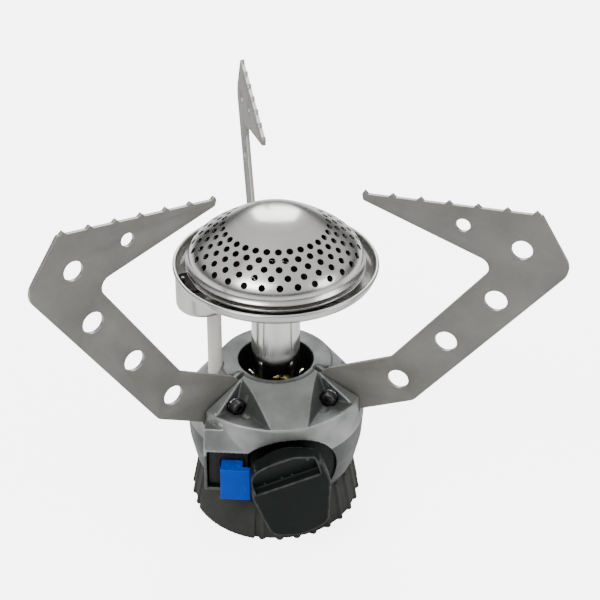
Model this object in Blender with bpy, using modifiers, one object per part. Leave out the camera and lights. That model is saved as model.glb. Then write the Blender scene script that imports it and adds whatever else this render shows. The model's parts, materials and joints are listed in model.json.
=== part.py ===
"""Camping stove burner that stands on a gas cartridge: a cast housing on a ribbed grip collar, a needle valve
with a knob, a jet and a mixing tube under a perforated dome, three hinged pan supports and a piezo igniter.

Units are metres and +Z is up. The origin is on the burner's axis, at the flat end of the inlet pin that opens
the cartridge. The knob faces -Y. Azimuths are degrees from +X, and the pan supports stand at 90, 210 and 330.
"""

import math

import bmesh
import bpy
from mathutils import Matrix, Vector

MM = 0.001

# ---------------------------------------------------------------- driving dimensions

GAP = 0.3 * MM  # clearance that seated pieces keep
SHEET = 0.8 * MM  # thickness of the burner's pressed steel

# Grip collar
COLLAR_BOTTOM = -12.0 * MM
COLLAR_HEIGHT = 16.7 * MM
COLLAR_TOP_RADIUS = 29.6 * MM
COLLAR_FOOT_RADIUS = 32.6 * MM
COLLAR_WALL = 3.4 * MM
COLLAR_ROOF = 6.2 * MM
RIB_COUNT = 30
RIB_HEIGHT = 1.3 * MM
RIB_RADIUS = 1.5 * MM
SMOOTH_FROM, SMOOTH_TO = 197.0, 247.0  # the stretch of collar without ribs

# Housing
HOUSING_HEIGHT = 45.2 * MM
BELT_RADIUS = 34.3 * MM
WAIST_RADIUS = 30.0 * MM
SHOULDER_RADIUS = 21.4 * MM
BORE_RADIUS = 14.2 * MM
BELT_LOW, BELT_HIGH = 22.8 * MM, 28.6 * MM  # above the housing's lower edge
HOOD_HIGH = 36.6 * MM
HOOD_INNER_RADIUS = 15.6 * MM
HOOD_FROM, HOOD_TO = 204.0, 336.0
CAVITY_RADIUS = 22.0 * MM
CAVITY_HEIGHT = 21.0 * MM
DECK = 4.0 * MM  # floor between the cavity and the bore

# Pan supports
PLATE = 1.5 * MM
SLOT_PLAY = 0.35 * MM
PIVOT_RADIUS = 24.0 * MM
PIVOT_BELOW_TOP = 8.1 * MM
ARM_AZIMUTH = {"left": 210.0, "right": 330.0, "rear": 90.0}
SCREW_SIDE = {"left": 1, "right": -1, "rear": 1}
SETTLE = {"left": 1.9, "right": -1.9, "rear": 0.4}  # degrees each support leans in within its slot's play
CHEEK = 4.3 * MM  # from the plate's middle to the seat of a screw head or a nut
TOOTH_COUNT = 7
TOOTH_PITCH = 9.94 * MM
TOOTH_HEIGHT = 1.3 * MM
TOOTH_WIDTH = 2.6 * MM
SUPPORT_HOLES = (  # radius from the burner's axis, height above the housing, and the hole's own radius
    (65.6 * MM, 74.0 * MM, 2.5 * MM),
    (86.5 * MM, 69.3 * MM, 3.6 * MM),
    (80.1 * MM, 47.2 * MM, 4.0 * MM),
    (64.4 * MM, 25.6 * MM, 4.0 * MM),
    (48.3 * MM, 4.0 * MM, 3.9 * MM),
)

# Fasteners
SCREW_RADIUS = 1.5 * MM
HEAD_RADIUS = 2.75 * MM
HEAD_HEIGHT = 3.0 * MM
HEAD_SEAT_DEPTH = 5.0 * MM
HEX_RADIUS, HEX_DEPTH = 1.45 * MM, 1.6 * MM
NUT_RADIUS = 3.1 * MM
NUT_HEIGHT = 2.4 * MM
WASHER = 0.6 * MM

# Burner
TUBE_RADIUS = 9.2 * MM
TUBE_WALL = 0.6 * MM
NECK_PLAY = 0.7 * MM  # between the valve's neck and the tube that stands round it
WINDOW_COUNT, WINDOW_WIDTH, FIRST_WINDOW = 4, 9.2 * MM, 274.0
RETAINER_SHEET, EAR_WIDTH, EAR_DISTANCE = 0.5 * MM, 3.2 * MM, 12.0 * MM
EAR_AZIMUTHS = (210.0, 315.0)
RIM_HEIGHT = 93.6 * MM
DOME_RADIUS = 33.0 * MM
DOME_RISE = 21.0 * MM
DOME_ROWS = 5
FIRST_ROW = 20.6 * MM  # from the dome's top, along its surface
ROW_PITCH = 3.85 * MM
DOME_SHAPE = (  # shares of the shoulder's radius and of the rise
    (0.30, 0.95),
    (0.47, 0.83),
    (0.71, 0.605),
    (0.90, 0.395),
    (0.975, 0.26),
    (1.0, 0.14),
)
HOLES_PER_ROW = 30
HOLE_RADIUS = 1.5 * MM
PAN_RADIUS = 37.4 * MM
PAN_DEPTH = 9.0 * MM
POCKET_DEPTH = 15.0 * MM
POCKET_RADIUS = 9.8 * MM
POCKET_AZIMUTH = 186.0
JET_TOP = 41.6 * MM

# Igniter
ELECTRODE_AZIMUTH, ELECTRODE_DISTANCE = 182.0, 23.3 * MM
CERAMIC_RADIUS = 2.75 * MM
CLIP_WIDTH = 1.5 * MM
PIEZO_AZIMUTH = 257.0  # the way the button faces
BLOCK_SETBACK = 1.1 * MM  # the block's face behind the belt
FRAME_SETBACK = 1.9 * MM  # the frame's face behind the block's
BUTTON_PROUD = 3.8 * MM  # the pad's face in front of the block's
BUTTON_WIDTH, BUTTON_HEIGHT = 8.0 * MM, 10.0 * MM
PAD_WIDTH, PAD_HEIGHT, PAD_THICK = 11.1 * MM, 13.9 * MM, 2.5 * MM
BUTTON_OFFSET = -13.9 * MM  # from the axis to the stem's middle, along the block's face
BUTTON_BACK = 26.0 * MM
BUTTON_PLAY = 0.35 * MM
PRESS = 3.0 * MM  # the button's travel
SPRING_WIRE = 0.35 * MM
SPRING_RADIUS = 2.6 * MM
ELECTRODE_WIRE = 0.6 * MM  # radius
LEAD_RADIUS = 0.9 * MM
FRAME_LEFT, FRAME_RIGHT = 9.0 * MM, 5.8 * MM  # the frame's reach either side of the stem's middle
FRAME_BELOW, FRAME_ABOVE = 4.8 * MM, 11.4 * MM  # and below and above the piezo unit's axis
BLOCK_WALL = 1.2 * MM
UNIT_HALF = 4.2 * MM  # the igniter unit is square in section
UNIT_BACK, UNIT_FRONT = 7.0 * MM, 22.0 * MM

# Collar's fasteners and lock ring
COLLAR_SCREWS = (50.0, 155.0, 300.0)
COLLAR_SCREW_DISTANCE = 24.7 * MM
COLLAR_SCREW_BITE = 6.0 * MM
PAN_HEAD_HEIGHT = 1.5 * MM
DRIVER_SLOT = 0.8 * MM
LOCK_RING_HEIGHT = 5.0 * MM
LOCK_RING_WALL = 1.2 * MM
LOCK_RING_FLANGE = 8.0 * MM
LUG_COUNT, LUG_WIDTH = 3, 8.0 * MM

# Inlet
INLET_RADIUS = 13.5 * MM
PIN_RADIUS, PIN_HEAD_RADIUS = 2.0 * MM, 3.0 * MM
SEAL_RADIUS = 8.6 * MM
SEAL_THICK = 2.2 * MM
VALVE_NUT_RADIUS = 12.2 * MM
STEM_FOOT = 3.2 * MM  # underside of the valve body's stem

# Knob and valve
KNOB_HEIGHT = 17.8 * MM  # axis above the origin
KNOB_STANDOFF = 1.0 * MM  # the grip's back in front of the belt
KNOB_THICK = 7.7 * MM
KNOB_HUB_RADIUS = 11.5 * MM
KNOB_TURN = 10.0  # degrees that the grip leans when the valve is shut
SOCKET_REACH = 3.0 * MM  # how far the spindle goes into the grip
RECESS_RADIUS = 19.0 * MM
RECESS_FLOOR = 26.0 * MM
BARREL_RADIUS = 5.2 * MM
BARREL_END = 18.5 * MM
GLAND_RADIUS = 5.4 * MM
GLAND_LENGTH = 5.6 * MM
O_RING_AT, O_RING_GROOVE = 14.0 * MM, 1.5 * MM
GAS_RADIUS = 1.1 * MM
JET_THREAD = 2.6 * MM
JET_BITE = 3.0 * MM
SPINDLE_RADIUS = 2.0 * MM

# ---------------------------------------------------------------- values that follow

COLLAR_TOP = COLLAR_BOTTOM + COLLAR_HEIGHT
HOUSING_BOTTOM = COLLAR_TOP + GAP
HOUSING_TOP = HOUSING_BOTTOM + HOUSING_HEIGHT
BELT_BOTTOM = HOUSING_BOTTOM + BELT_LOW
BELT_TOP = HOUSING_BOTTOM + BELT_HIGH
HOOD_CREASE = HOUSING_BOTTOM + HOOD_HIGH
CAVITY_TOP = HOUSING_BOTTOM + CAVITY_HEIGHT
BORE_FLOOR = CAVITY_TOP + DECK
PIVOT_HEIGHT = HOUSING_TOP - PIVOT_BELOW_TOP
NECK_RADIUS = TUBE_RADIUS - TUBE_WALL - NECK_PLAY
BLOCK_FACE = BELT_RADIUS - BLOCK_SETBACK
FRAME_FACE = BLOCK_FACE - FRAME_SETBACK
BUTTON_FACE = BLOCK_FACE + BUTTON_PROUD
KNOB_BACK = BELT_RADIUS + KNOB_STANDOFF
KNOB_FACE = KNOB_BACK + KNOB_THICK
PAN_FLOOR = RIM_HEIGHT - PAN_DEPTH
POCKET_FLOOR = RIM_HEIGHT - POCKET_DEPTH
POCKET_DISTANCE = PAN_RADIUS - POCKET_RADIUS
PIEZO_HEIGHT = KNOB_HEIGHT
BUTTON_TOP = PIEZO_HEIGHT + 6.7 * MM
SLOT_HALF = PLATE / 2 + SLOT_PLAY

# ---------------------------------------------------------------- scene helpers

for old in list(bpy.data.objects):
    bpy.data.objects.remove(old)

parts = bpy.data.collections.new("camping_stove")
cutters = bpy.data.collections.new("cutters")
for group in (parts, cutters):
    bpy.context.scene.collection.children.link(group)


def finish(name, colour, roughness, metallic):
    """A material with one colour."""
    material = bpy.data.materials.new(name)
    material.use_nodes = True
    shader = material.node_tree.nodes["Principled BSDF"]
    shader.inputs["Base Color"].default_value = (*colour, 1.0)
    shader.inputs["Roughness"].default_value = roughness
    shader.inputs["Metallic"].default_value = metallic
    return material


CASTING = finish("casting", (0.30, 0.31, 0.30), 0.5, 0.6)
GRIP = finish("grip", (0.06, 0.06, 0.055), 0.8, 0.0)
BLACK = finish("black_plastic", (0.015, 0.018, 0.018), 0.35, 0.0)
BLUE = finish("blue_plastic", (0.0, 0.10, 0.68), 0.35, 0.0)
PLATE_STEEL = finish("plate_steel", (0.17, 0.165, 0.15), 0.55, 0.8)
BRIGHT_STEEL = finish("bright_steel", (0.62, 0.62, 0.60), 0.2, 1.0)
DARK_STEEL = finish("dark_steel", (0.10, 0.10, 0.10), 0.4, 1.0)
BRASS = finish("brass", (0.66, 0.47, 0.18), 0.3, 1.0)
CERAMIC = finish("ceramic", (0.78, 0.76, 0.70), 0.4, 0.0)
RUBBER = finish("rubber", (0.02, 0.02, 0.02), 0.7, 0.0)


def add(name, mesh, material=None, place=None):
    """An object for a piece, or for a cutter where no material is given."""
    obj = bpy.data.objects.new(name, mesh)
    if place:
        obj.matrix_world = place
    if material:
        mesh.materials.append(material)
        parts.objects.link(obj)
    else:
        cutters.objects.link(obj)
        obj.hide_render = True
        obj.display_type = "WIRE"
    return obj


def turned(name, profile, material=None, steps=64, place=None):
    """A profile of (radius, height) points turned round Z, closed unless its ends lie on the axis."""
    on_axis = profile[0][0] == 0 and profile[-1][0] == 0
    pairs = zip(profile, profile[1:] + profile[:1])
    area = sum(a[0] * b[1] - b[0] * a[1] for a, b in pairs)
    points = profile if area < 0 else profile[::-1]
    mesh = bpy.data.meshes.new(name)
    ends = len(points) - 1 if on_axis else len(points)
    edges = [(i, (i + 1) % len(points)) for i in range(ends)]
    mesh.from_pydata([(r, 0, z) for r, z in points], edges, [])
    obj = add(name, mesh, material, place)
    screw = obj.modifiers.new("turn", "SCREW")
    screw.steps = screw.render_steps = steps
    screw.use_merge_vertices = True
    screw.merge_threshold = 0.00001
    screw.use_smooth_shade = False
    return obj


def between(start, end):
    """A placement whose Z runs from one point to another, at their middle."""
    start, end = Vector(start), Vector(end)
    turn = Vector((0, 0, 1)).rotation_difference(end - start).to_matrix().to_4x4()
    return Matrix.Translation((start + end) / 2) @ turn


def rod(name, radius, start, end, material=None, segments=32, end_radius=None, place=None):
    """A cylinder or cone from one point to another."""
    form = bmesh.new()
    bmesh.ops.create_cone(
        form,
        cap_ends=True,
        segments=segments,
        radius1=radius,
        radius2=radius if end_radius is None else end_radius,
        depth=(Vector(end) - Vector(start)).length,
        matrix=between(start, end),
    )
    mesh = bpy.data.meshes.new(name)
    form.to_mesh(mesh)
    form.free()
    return add(name, mesh, material, place)


def block(name, low, high, material=None, place=None, bevel=0.0):
    """A box between two corners."""
    low, high = Vector(low), Vector(high)
    size = Matrix.Diagonal((*(high - low), 1.0))
    form = bmesh.new()
    bmesh.ops.create_cube(form, size=1.0, matrix=Matrix.Translation((low + high) / 2) @ size)
    mesh = bpy.data.meshes.new(name)
    form.to_mesh(mesh)
    form.free()
    obj = add(name, mesh, material, place)
    if bevel:
        soften(obj, bevel)
    return obj


def soften(obj, width, segments=2, limit=30.0):
    """Rounded edges where faces meet at more than the limit."""
    edge = obj.modifiers.new("round", "BEVEL")
    edge.width = width
    edge.segments = segments
    edge.limit_method = "ANGLE"
    edge.angle_limit = math.radians(limit)


def slab(name, outline, low, high, material=None, place=None):
    """A flat outline in local X and Y, from the low height to the high one."""
    curve = bpy.data.curves.new(name, "CURVE")
    curve.dimensions = "2D"
    curve.fill_mode = "BOTH"
    curve.extrude = (high - low) / 2
    line = curve.splines.new("POLY")
    line.points.add(len(outline) - 1)
    for point, (x, y) in zip(line.points, outline):
        point.co = (x, y, 0, 1)
    line.use_cyclic_u = True
    lift = Matrix.Translation((0, 0, (low + high) / 2))
    return from_curve(name, curve, material, (place or Matrix()) @ lift)


def plate(name, outline, thickness, material=None, place=None):
    """A flat outline in local X and Z, as thick as given along local Y, centred on it."""
    stand = Matrix.Rotation(math.pi / 2, 4, "X")
    return slab(name, outline, -thickness / 2, thickness / 2, material, (place or Matrix()) @ stand)


def wire(name, points, radius, material=None, resolution=2, place=None):
    """A round wire through the points."""
    curve = bpy.data.curves.new(name, "CURVE")
    curve.dimensions = "3D"
    curve.bevel_depth = radius
    curve.bevel_resolution = resolution
    curve.use_fill_caps = True
    line = curve.splines.new("POLY")
    line.points.add(len(points) - 1)
    for point, co in zip(line.points, points):
        point.co = (*co, 1)
    return from_curve(name, curve, material, place or Matrix())


def from_curve(name, curve, material, place):
    """The curve as a mesh object with its caps welded on."""
    guide = bpy.data.objects.new(name + "_guide", curve)
    bpy.context.scene.collection.objects.link(guide)
    guide.matrix_world = place
    bpy.context.view_layer.update()
    graph = bpy.context.evaluated_depsgraph_get()
    mesh = bpy.data.meshes.new_from_object(guide.evaluated_get(graph))
    mesh.name = name
    form = bmesh.new()
    form.from_mesh(mesh)
    bmesh.ops.remove_doubles(form, verts=form.verts, dist=0.000001)
    bmesh.ops.recalc_face_normals(form, faces=form.faces)
    form.to_mesh(mesh)
    form.free()
    mesh.materials.clear()
    bpy.data.objects.remove(guide)
    return add(name, mesh, material, place)


def combine(obj, other, operation):
    step = obj.modifiers.new(other.name, "BOOLEAN")
    step.operation = operation
    step.object = other
    return obj


def cut(obj, *others):
    for other in others:
        combine(obj, other, "DIFFERENCE")


def join(obj, *others):
    for other in others:
        combine(obj, other, "UNION")


def combine_all(obj, title, others, operation):
    """One Boolean with several objects, kept in a collection of their own."""
    bunch = bpy.data.collections.new(title)
    cutters.children.link(bunch)
    for other in others:
        cutters.objects.unlink(other)
        bunch.objects.link(other)
    step = obj.modifiers.new(title, "BOOLEAN")
    step.operation = operation
    step.operand_type = "COLLECTION"
    step.collection = bunch
    return obj


def polar(distance, azimuth, height):
    angle = math.radians(azimuth)
    return Vector((distance * math.cos(angle), distance * math.sin(angle), height))


def rounded(corners, steps=5):
    """An outline with an arc at each (x, z, radius) corner."""
    outline = []
    count = len(corners)
    for i, (x, z, radius) in enumerate(corners):
        here = Vector((x, z))
        back = (Vector(corners[i - 1][:2]) - here).normalized()
        ahead = (Vector(corners[(i + 1) % count][:2]) - here).normalized()
        half = back.angle(ahead) / 2
        if radius == 0:
            outline.append((x, z))
            continue
        middle = here + (back + ahead).normalized() * radius / math.sin(half)
        first = here + back * radius / math.tan(half) - middle
        sweep = first.angle_signed(here + ahead * radius / math.tan(half) - middle)
        for k in range(steps + 1):
            spoke = first.copy()
            spoke.rotate(Matrix.Rotation(-sweep * k / steps, 2))
            outline.append(tuple(middle + spoke))
    return outline


def radial(azimuth):
    """A placement whose X points out along the azimuth and whose Y points along growing azimuth."""
    return Matrix.Rotation(math.radians(azimuth), 4, "Z")


# ---------------------------------------------------------------- grip collar


def sector(name, start, end, radius, low, high):
    """A wedge about Z between two azimuths."""
    arc = [polar(radius, start + (end - start) * k / 12, 0).to_2d() for k in range(13)]
    return slab(name, [(0, 0)] + [tuple(point) for point in arc], low, high)


def make_collar():
    below = COLLAR_BOTTOM - 1 * MM  # trimmed level with the foot afterwards
    collar = turned(
        "base_collar",
        [
            (COLLAR_TOP_RADIUS, COLLAR_TOP),
            (COLLAR_TOP_RADIUS + 0.8 * MM, COLLAR_TOP - 3.5 * MM),
            (COLLAR_FOOT_RADIUS - 0.4 * MM, COLLAR_BOTTOM + 4.5 * MM),
            (COLLAR_FOOT_RADIUS, COLLAR_BOTTOM),
            (COLLAR_FOOT_RADIUS, below),
            (COLLAR_FOOT_RADIUS - COLLAR_WALL, below),
            (COLLAR_FOOT_RADIUS - COLLAR_WALL, COLLAR_TOP - COLLAR_ROOF),
            (INLET_RADIUS + GAP, COLLAR_TOP - COLLAR_ROOF),
            (INLET_RADIUS + GAP, COLLAR_TOP),
        ],
        GRIP,
        steps=2 * RIB_COUNT,
    )
    panel = turned(
        "smooth_panel",
        [
            (COLLAR_TOP_RADIUS - 2 * MM, COLLAR_TOP - 0.9 * MM),
            (COLLAR_TOP_RADIUS + 0.7 * MM, COLLAR_TOP - 0.9 * MM),
            (COLLAR_FOOT_RADIUS + 0.6 * MM, COLLAR_BOTTOM + 5 * MM),
            (COLLAR_FOOT_RADIUS + RIB_HEIGHT, COLLAR_BOTTOM),
            (COLLAR_FOOT_RADIUS + RIB_HEIGHT, below),
            (COLLAR_FOOT_RADIUS - 2 * MM, below),
            (COLLAR_FOOT_RADIUS - 2 * MM, COLLAR_TOP - COLLAR_ROOF + 1 * MM),
            (COLLAR_TOP_RADIUS - 2 * MM, COLLAR_TOP - COLLAR_ROOF + 1 * MM),
        ],
        steps=2 * RIB_COUNT,
    )
    reach = 2 * BELT_RADIUS
    wedge = sector("panel_sector", SMOOTH_FROM, SMOOTH_TO, reach, below * 2, COLLAR_TOP + 1 * MM)
    combine(panel, wedge, "INTERSECT")
    join(collar, panel)
    pitch = 360.0 / RIB_COUNT
    radius = RIB_RADIUS
    foot = COLLAR_FOOT_RADIUS + RIB_HEIGHT - radius
    ribs = []
    for i in range(RIB_COUNT):
        azimuth = pitch * i
        if SMOOTH_FROM < azimuth < SMOOTH_TO:
            continue
        low = polar(foot, azimuth, below)
        high = polar(COLLAR_TOP_RADIUS - 0.1 * MM, azimuth, COLLAR_TOP - 0.7 * MM)
        ribs.append(rod(f"rib_{i}", radius, low, high, segments=8, end_radius=0.8 * radius))
    combine_all(collar, "ribs", ribs, "UNION")
    cut(collar, block("foot_level", (-reach, -reach, 3 * below), (reach, reach, COLLAR_BOTTOM)))
    for i, azimuth in enumerate(COLLAR_SCREWS):
        low = polar(COLLAR_SCREW_DISTANCE, azimuth, COLLAR_TOP - COLLAR_ROOF - 1 * MM)
        high = polar(COLLAR_SCREW_DISTANCE, azimuth, COLLAR_TOP + 1 * MM)
        cut(collar, rod(f"collar_hole_{i}", SCREW_RADIUS + GAP, low, high, segments=12))


def make_lock_ring():
    """The steel ring under the collar's roof whose three lugs take the cartridge's neck."""
    outer = COLLAR_FOOT_RADIUS - COLLAR_WALL - GAP
    top = COLLAR_TOP - COLLAR_ROOF - GAP
    ring = turned(
        "cartridge_lock_ring",
        [
            (outer, top),
            (outer, top - LOCK_RING_HEIGHT),
            (outer - LOCK_RING_WALL, top - LOCK_RING_HEIGHT),
            (outer - LOCK_RING_WALL, top - LOCK_RING_WALL),
            (outer - LOCK_RING_FLANGE, top - LOCK_RING_WALL),
            (outer - LOCK_RING_FLANGE, top),
        ],
        BRIGHT_STEEL,
        steps=36,
    )
    lugs = []
    foot = top - LOCK_RING_HEIGHT
    for i in range(LUG_COUNT):
        low = (outer - 5.2 * MM, -LUG_WIDTH / 2, foot)
        high = (outer - 0.5 * LOCK_RING_WALL, LUG_WIDTH / 2, foot + LOCK_RING_WALL)
        lugs.append(block(f"lug_{i}", low, high, place=radial(30 + 360 / LUG_COUNT * i)))
    combine_all(ring, "lugs", lugs, "UNION")
    for i, azimuth in enumerate(COLLAR_SCREWS):
        low = polar(COLLAR_SCREW_DISTANCE, azimuth, top - LOCK_RING_WALL - 1 * MM)
        high = polar(COLLAR_SCREW_DISTANCE, azimuth, top + 1 * MM)
        cut(ring, rod(f"ring_hole_{i}", SCREW_RADIUS + GAP, low, high, segments=12))


def make_collar_screws():
    """Three pan-head screws up through the ring and the collar into the housing."""
    seat = COLLAR_TOP - COLLAR_ROOF - GAP - LOCK_RING_WALL - GAP
    for i, azimuth in enumerate(COLLAR_SCREWS):
        place = Matrix.Translation(polar(COLLAR_SCREW_DISTANCE, azimuth, seat))
        screw = turned(
            f"collar_screw_{i + 1}",
            [
                (0, HOUSING_BOTTOM - seat + COLLAR_SCREW_BITE),
                (SCREW_RADIUS, HOUSING_BOTTOM - seat + COLLAR_SCREW_BITE),
                (SCREW_RADIUS, 0),
                (HEAD_RADIUS - GAP, 0),
                (HEAD_RADIUS - 0.8 * MM, -PAN_HEAD_HEIGHT),
                (0, -PAN_HEAD_HEIGHT),
            ],
            DARK_STEEL,
            steps=12,
            place=place,
        )
        low = (-2 * HEAD_RADIUS, -DRIVER_SLOT / 2, -2 * PAN_HEAD_HEIGHT)
        high = (2 * HEAD_RADIUS, DRIVER_SLOT / 2, -PAN_HEAD_HEIGHT / 2)
        cut(screw, block(f"driver_slot_{i}", low, high, place=place))


# ---------------------------------------------------------------- housing


def block_place():
    """X runs right along the piezo block's face, Y points inwards and Z up, seen from in front of it."""
    return Matrix.Rotation(math.radians(PIEZO_AZIMUTH + 90), 4, "Z")


def piezo_box(name, left, right, back, front, low, high, material=None, bevel=0.0):
    """A box that lies along the piezo block's face from the stem's middle, out from the axis, and up."""
    near = (BUTTON_OFFSET + left, -front, low)
    far = (BUTTON_OFFSET + right, -back, high)
    return block(name, near, far, material, block_place(), bevel)


def make_housing():
    housing = turned(
        "upper_housing",
        [
            (BORE_RADIUS, HOUSING_TOP - 0.4 * MM),
            (BORE_RADIUS + 0.4 * MM, HOUSING_TOP),
            (SHOULDER_RADIUS, HOUSING_TOP),
            (BELT_RADIUS - 0.3 * MM, BELT_TOP),
            (BELT_RADIUS, BELT_TOP - 0.6 * MM),
            (BELT_RADIUS, BELT_BOTTOM),
            (BELT_RADIUS - 0.4 * MM, BELT_BOTTOM - 6.2 * MM),
            (BELT_RADIUS - 1.1 * MM, BELT_BOTTOM - 13.2 * MM),
            (BELT_RADIUS - 2.7 * MM, HOUSING_BOTTOM + 3.6 * MM),
            (WAIST_RADIUS, HOUSING_BOTTOM),
            (CAVITY_RADIUS, HOUSING_BOTTOM),
            (CAVITY_RADIUS, CAVITY_TOP),
            (NECK_RADIUS + GAP, CAVITY_TOP),
            (NECK_RADIUS + GAP, BORE_FLOOR),
            (BORE_RADIUS, BORE_FLOOR),
        ],
        CASTING,
        steps=48,
    )
    add_hood(housing)
    add_piezo_block(housing)
    outside = (0, -2 * BELT_RADIUS, KNOB_HEIGHT)
    inside = (0, -CAVITY_RADIUS / 2, KNOB_HEIGHT)
    recess = rod("knob_recess", RECESS_RADIUS, (0, -RECESS_FLOOR, KNOB_HEIGHT), outside, segments=48)
    mouth = rod("gland_hole", GLAND_RADIUS + GAP, inside, outside, segments=20)
    cut(housing, recess, mouth)
    for name, azimuth in ARM_AZIMUTH.items():
        cut_support_slot(housing, name, azimuth)
    foot = polar(ELECTRODE_DISTANCE, ELECTRODE_AZIMUTH, CAVITY_TOP - 3 * MM)
    top = polar(ELECTRODE_DISTANCE, ELECTRODE_AZIMUTH, HOUSING_TOP + 3 * MM)
    cut(housing, rod("electrode_hole", CERAMIC_RADIUS + GAP, foot, top, segments=16))
    low = polar(ELECTRODE_DISTANCE, ELECTRODE_AZIMUTH, HOUSING_BOTTOM - 1 * MM)
    high = polar(ELECTRODE_DISTANCE, ELECTRODE_AZIMUTH, CAVITY_TOP)
    cut(housing, rod("electrode_bay", CERAMIC_RADIUS + CLIP_WIDTH + 2 * GAP, low, high, segments=20))
    for i, azimuth in enumerate(COLLAR_SCREWS):
        low = polar(COLLAR_SCREW_DISTANCE, azimuth, HOUSING_BOTTOM - 1 * MM)
        high = polar(COLLAR_SCREW_DISTANCE, azimuth, HOUSING_BOTTOM + COLLAR_SCREW_BITE + 1 * MM)
        cut(housing, rod(f"thread_{i}", SCREW_RADIUS + GAP, low, high, segments=12))


def add_hood(housing):
    """The front of the casting runs higher, in one slope from the bore to the belt."""
    far = 2 * BELT_RADIUS
    tall = 2 * HOUSING_TOP
    clear = turned(
        "hood_clear",
        [
            (HOOD_INNER_RADIUS, HOUSING_TOP + 1 * MM),
            (far, HOUSING_TOP + 1 * MM),
            (far, BELT_TOP + 3 * MM),
            (HOOD_INNER_RADIUS, BELT_TOP + 3 * MM),
        ],
        steps=48,
    )
    combine(clear, sector("hood_clear_sector", HOOD_FROM, HOOD_TO, 3 * far, 0, tall), "INTERSECT")
    hood = turned(
        "hood",
        [
            (HOOD_INNER_RADIUS - 0.9 * MM, HOUSING_TOP - 0.2 * MM),
            (HOOD_INNER_RADIUS + 0.2 * MM, HOUSING_TOP - 0.2 * MM),
            (BELT_RADIUS - 0.5 * MM, HOOD_CREASE),
            (BELT_RADIUS - 0.05 * MM, HOOD_CREASE - 0.5 * MM),
            (BELT_RADIUS - 0.05 * MM, BELT_BOTTOM + 1 * MM),
            (HOOD_INNER_RADIUS - 0.9 * MM, BELT_BOTTOM + 1 * MM),
        ],
        steps=48,
    )
    combine(hood, sector("hood_sector", HOOD_FROM - 1, HOOD_TO + 1, 3 * far, 0, tall), "INTERSECT")
    cut(housing, clear)
    join(housing, hood)


def add_piezo_block(housing):
    """The box on the casting's front left that holds the igniter's frame."""
    low = PIEZO_HEIGHT - FRAME_BELOW - GAP - BLOCK_WALL
    lip = PIEZO_HEIGHT + FRAME_ABOVE + BLOCK_WALL
    left = -FRAME_LEFT - GAP - BLOCK_WALL
    right = FRAME_RIGHT + GAP + BLOCK_WALL
    side = [
        (-BLOCK_FACE, low),
        (-BLOCK_FACE, lip),
        (-BLOCK_FACE + 3.0 * MM, lip + 7.5 * MM),
        (-CAVITY_RADIUS + 2 * MM, lip + 7.5 * MM),
        (-CAVITY_RADIUS + 2 * MM, low),
    ]
    # the side outline is drawn in Y and Z and runs along X
    turn = Matrix(((0, 0, 1, 0), (1, 0, 0, 0), (0, 1, 0, 0), (0, 0, 0, 1)))
    place = block_place() @ turn
    shell = slab("piezo_block", side, BUTTON_OFFSET + left, BUTTON_OFFSET + right, place=place)
    soften(shell, 0.6 * MM)
    join(housing, shell)
    pocket = piezo_box(
        "frame_pocket",
        -FRAME_LEFT - GAP,
        FRAME_RIGHT + GAP,
        UNIT_FRONT - 0.6 * MM,
        BLOCK_FACE + 9 * MM,
        PIEZO_HEIGHT - FRAME_BELOW - GAP,
        PIEZO_HEIGHT + FRAME_ABOVE + GAP,
    )
    tunnel = piezo_box(
        "unit_tunnel",
        -UNIT_HALF - GAP,
        UNIT_HALF + GAP,
        UNIT_BACK - 2 * MM,
        UNIT_FRONT + 2 * MM,
        PIEZO_HEIGHT - UNIT_HALF - GAP,
        PIEZO_HEIGHT + UNIT_HALF + GAP,
    )
    relief = piezo_box(
        "pad_relief",
        -BUTTON_WIDTH / 2 - BUTTON_PLAY,
        PAD_WIDTH - BUTTON_WIDTH / 2 + BUTTON_PLAY,
        BUTTON_FACE - PAD_THICK - PRESS - BUTTON_PLAY,
        BLOCK_FACE + 9 * MM,
        BUTTON_TOP - PAD_HEIGHT - BUTTON_PLAY,
        BUTTON_TOP + BUTTON_PLAY,
    )
    cut(housing, pocket, tunnel, relief)


def cut_support_slot(housing, name, azimuth):
    """The slot for one pan support, its screw and nut seats, and the facets beside it."""
    place = radial(azimuth)
    inner = BORE_RADIUS + 1.3 * MM
    floor = PIVOT_HEIGHT - 10.6 * MM
    outline = [
        (inner, HOUSING_TOP + 4 * MM),
        (inner, floor),
        (PIVOT_RADIUS + 3.0 * MM, floor + 0.4 * MM),
        (BELT_RADIUS + 6 * MM, floor + 4.6 * MM),
        (BELT_RADIUS + 6 * MM, HOUSING_TOP + 4 * MM),
    ]
    cut(housing, plate(f"slot_{name}", outline, 2 * SLOT_HALF, place=place))
    side = SCREW_SIDE[name]
    reach = 14 * MM
    hole = rod(
        f"pivot_hole_{name}",
        SCREW_RADIUS + GAP,
        (PIVOT_RADIUS, -reach, PIVOT_HEIGHT),
        (PIVOT_RADIUS, reach, PIVOT_HEIGHT),
        segments=14,
        place=place,
    )
    cut(housing, hole)
    head_seat = (side, HEAD_RADIUS + 0.5 * MM, HEAD_SEAT_DEPTH)
    nut_seat = (-side, NUT_RADIUS + 0.8 * MM, 16 * MM)
    for way, radius, depth in (head_seat, nut_seat):
        seat = rod(
            f"seat_{name}_{way}",
            radius,
            (PIVOT_RADIUS, way * CHEEK, PIVOT_HEIGHT),
            (PIVOT_RADIUS, way * (CHEEK + depth), PIVOT_HEIGHT),
            segments=16,
            place=place,
        )
        cut(housing, seat)
    if name != "rear":
        cut(housing, facet(name, place, side))


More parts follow.
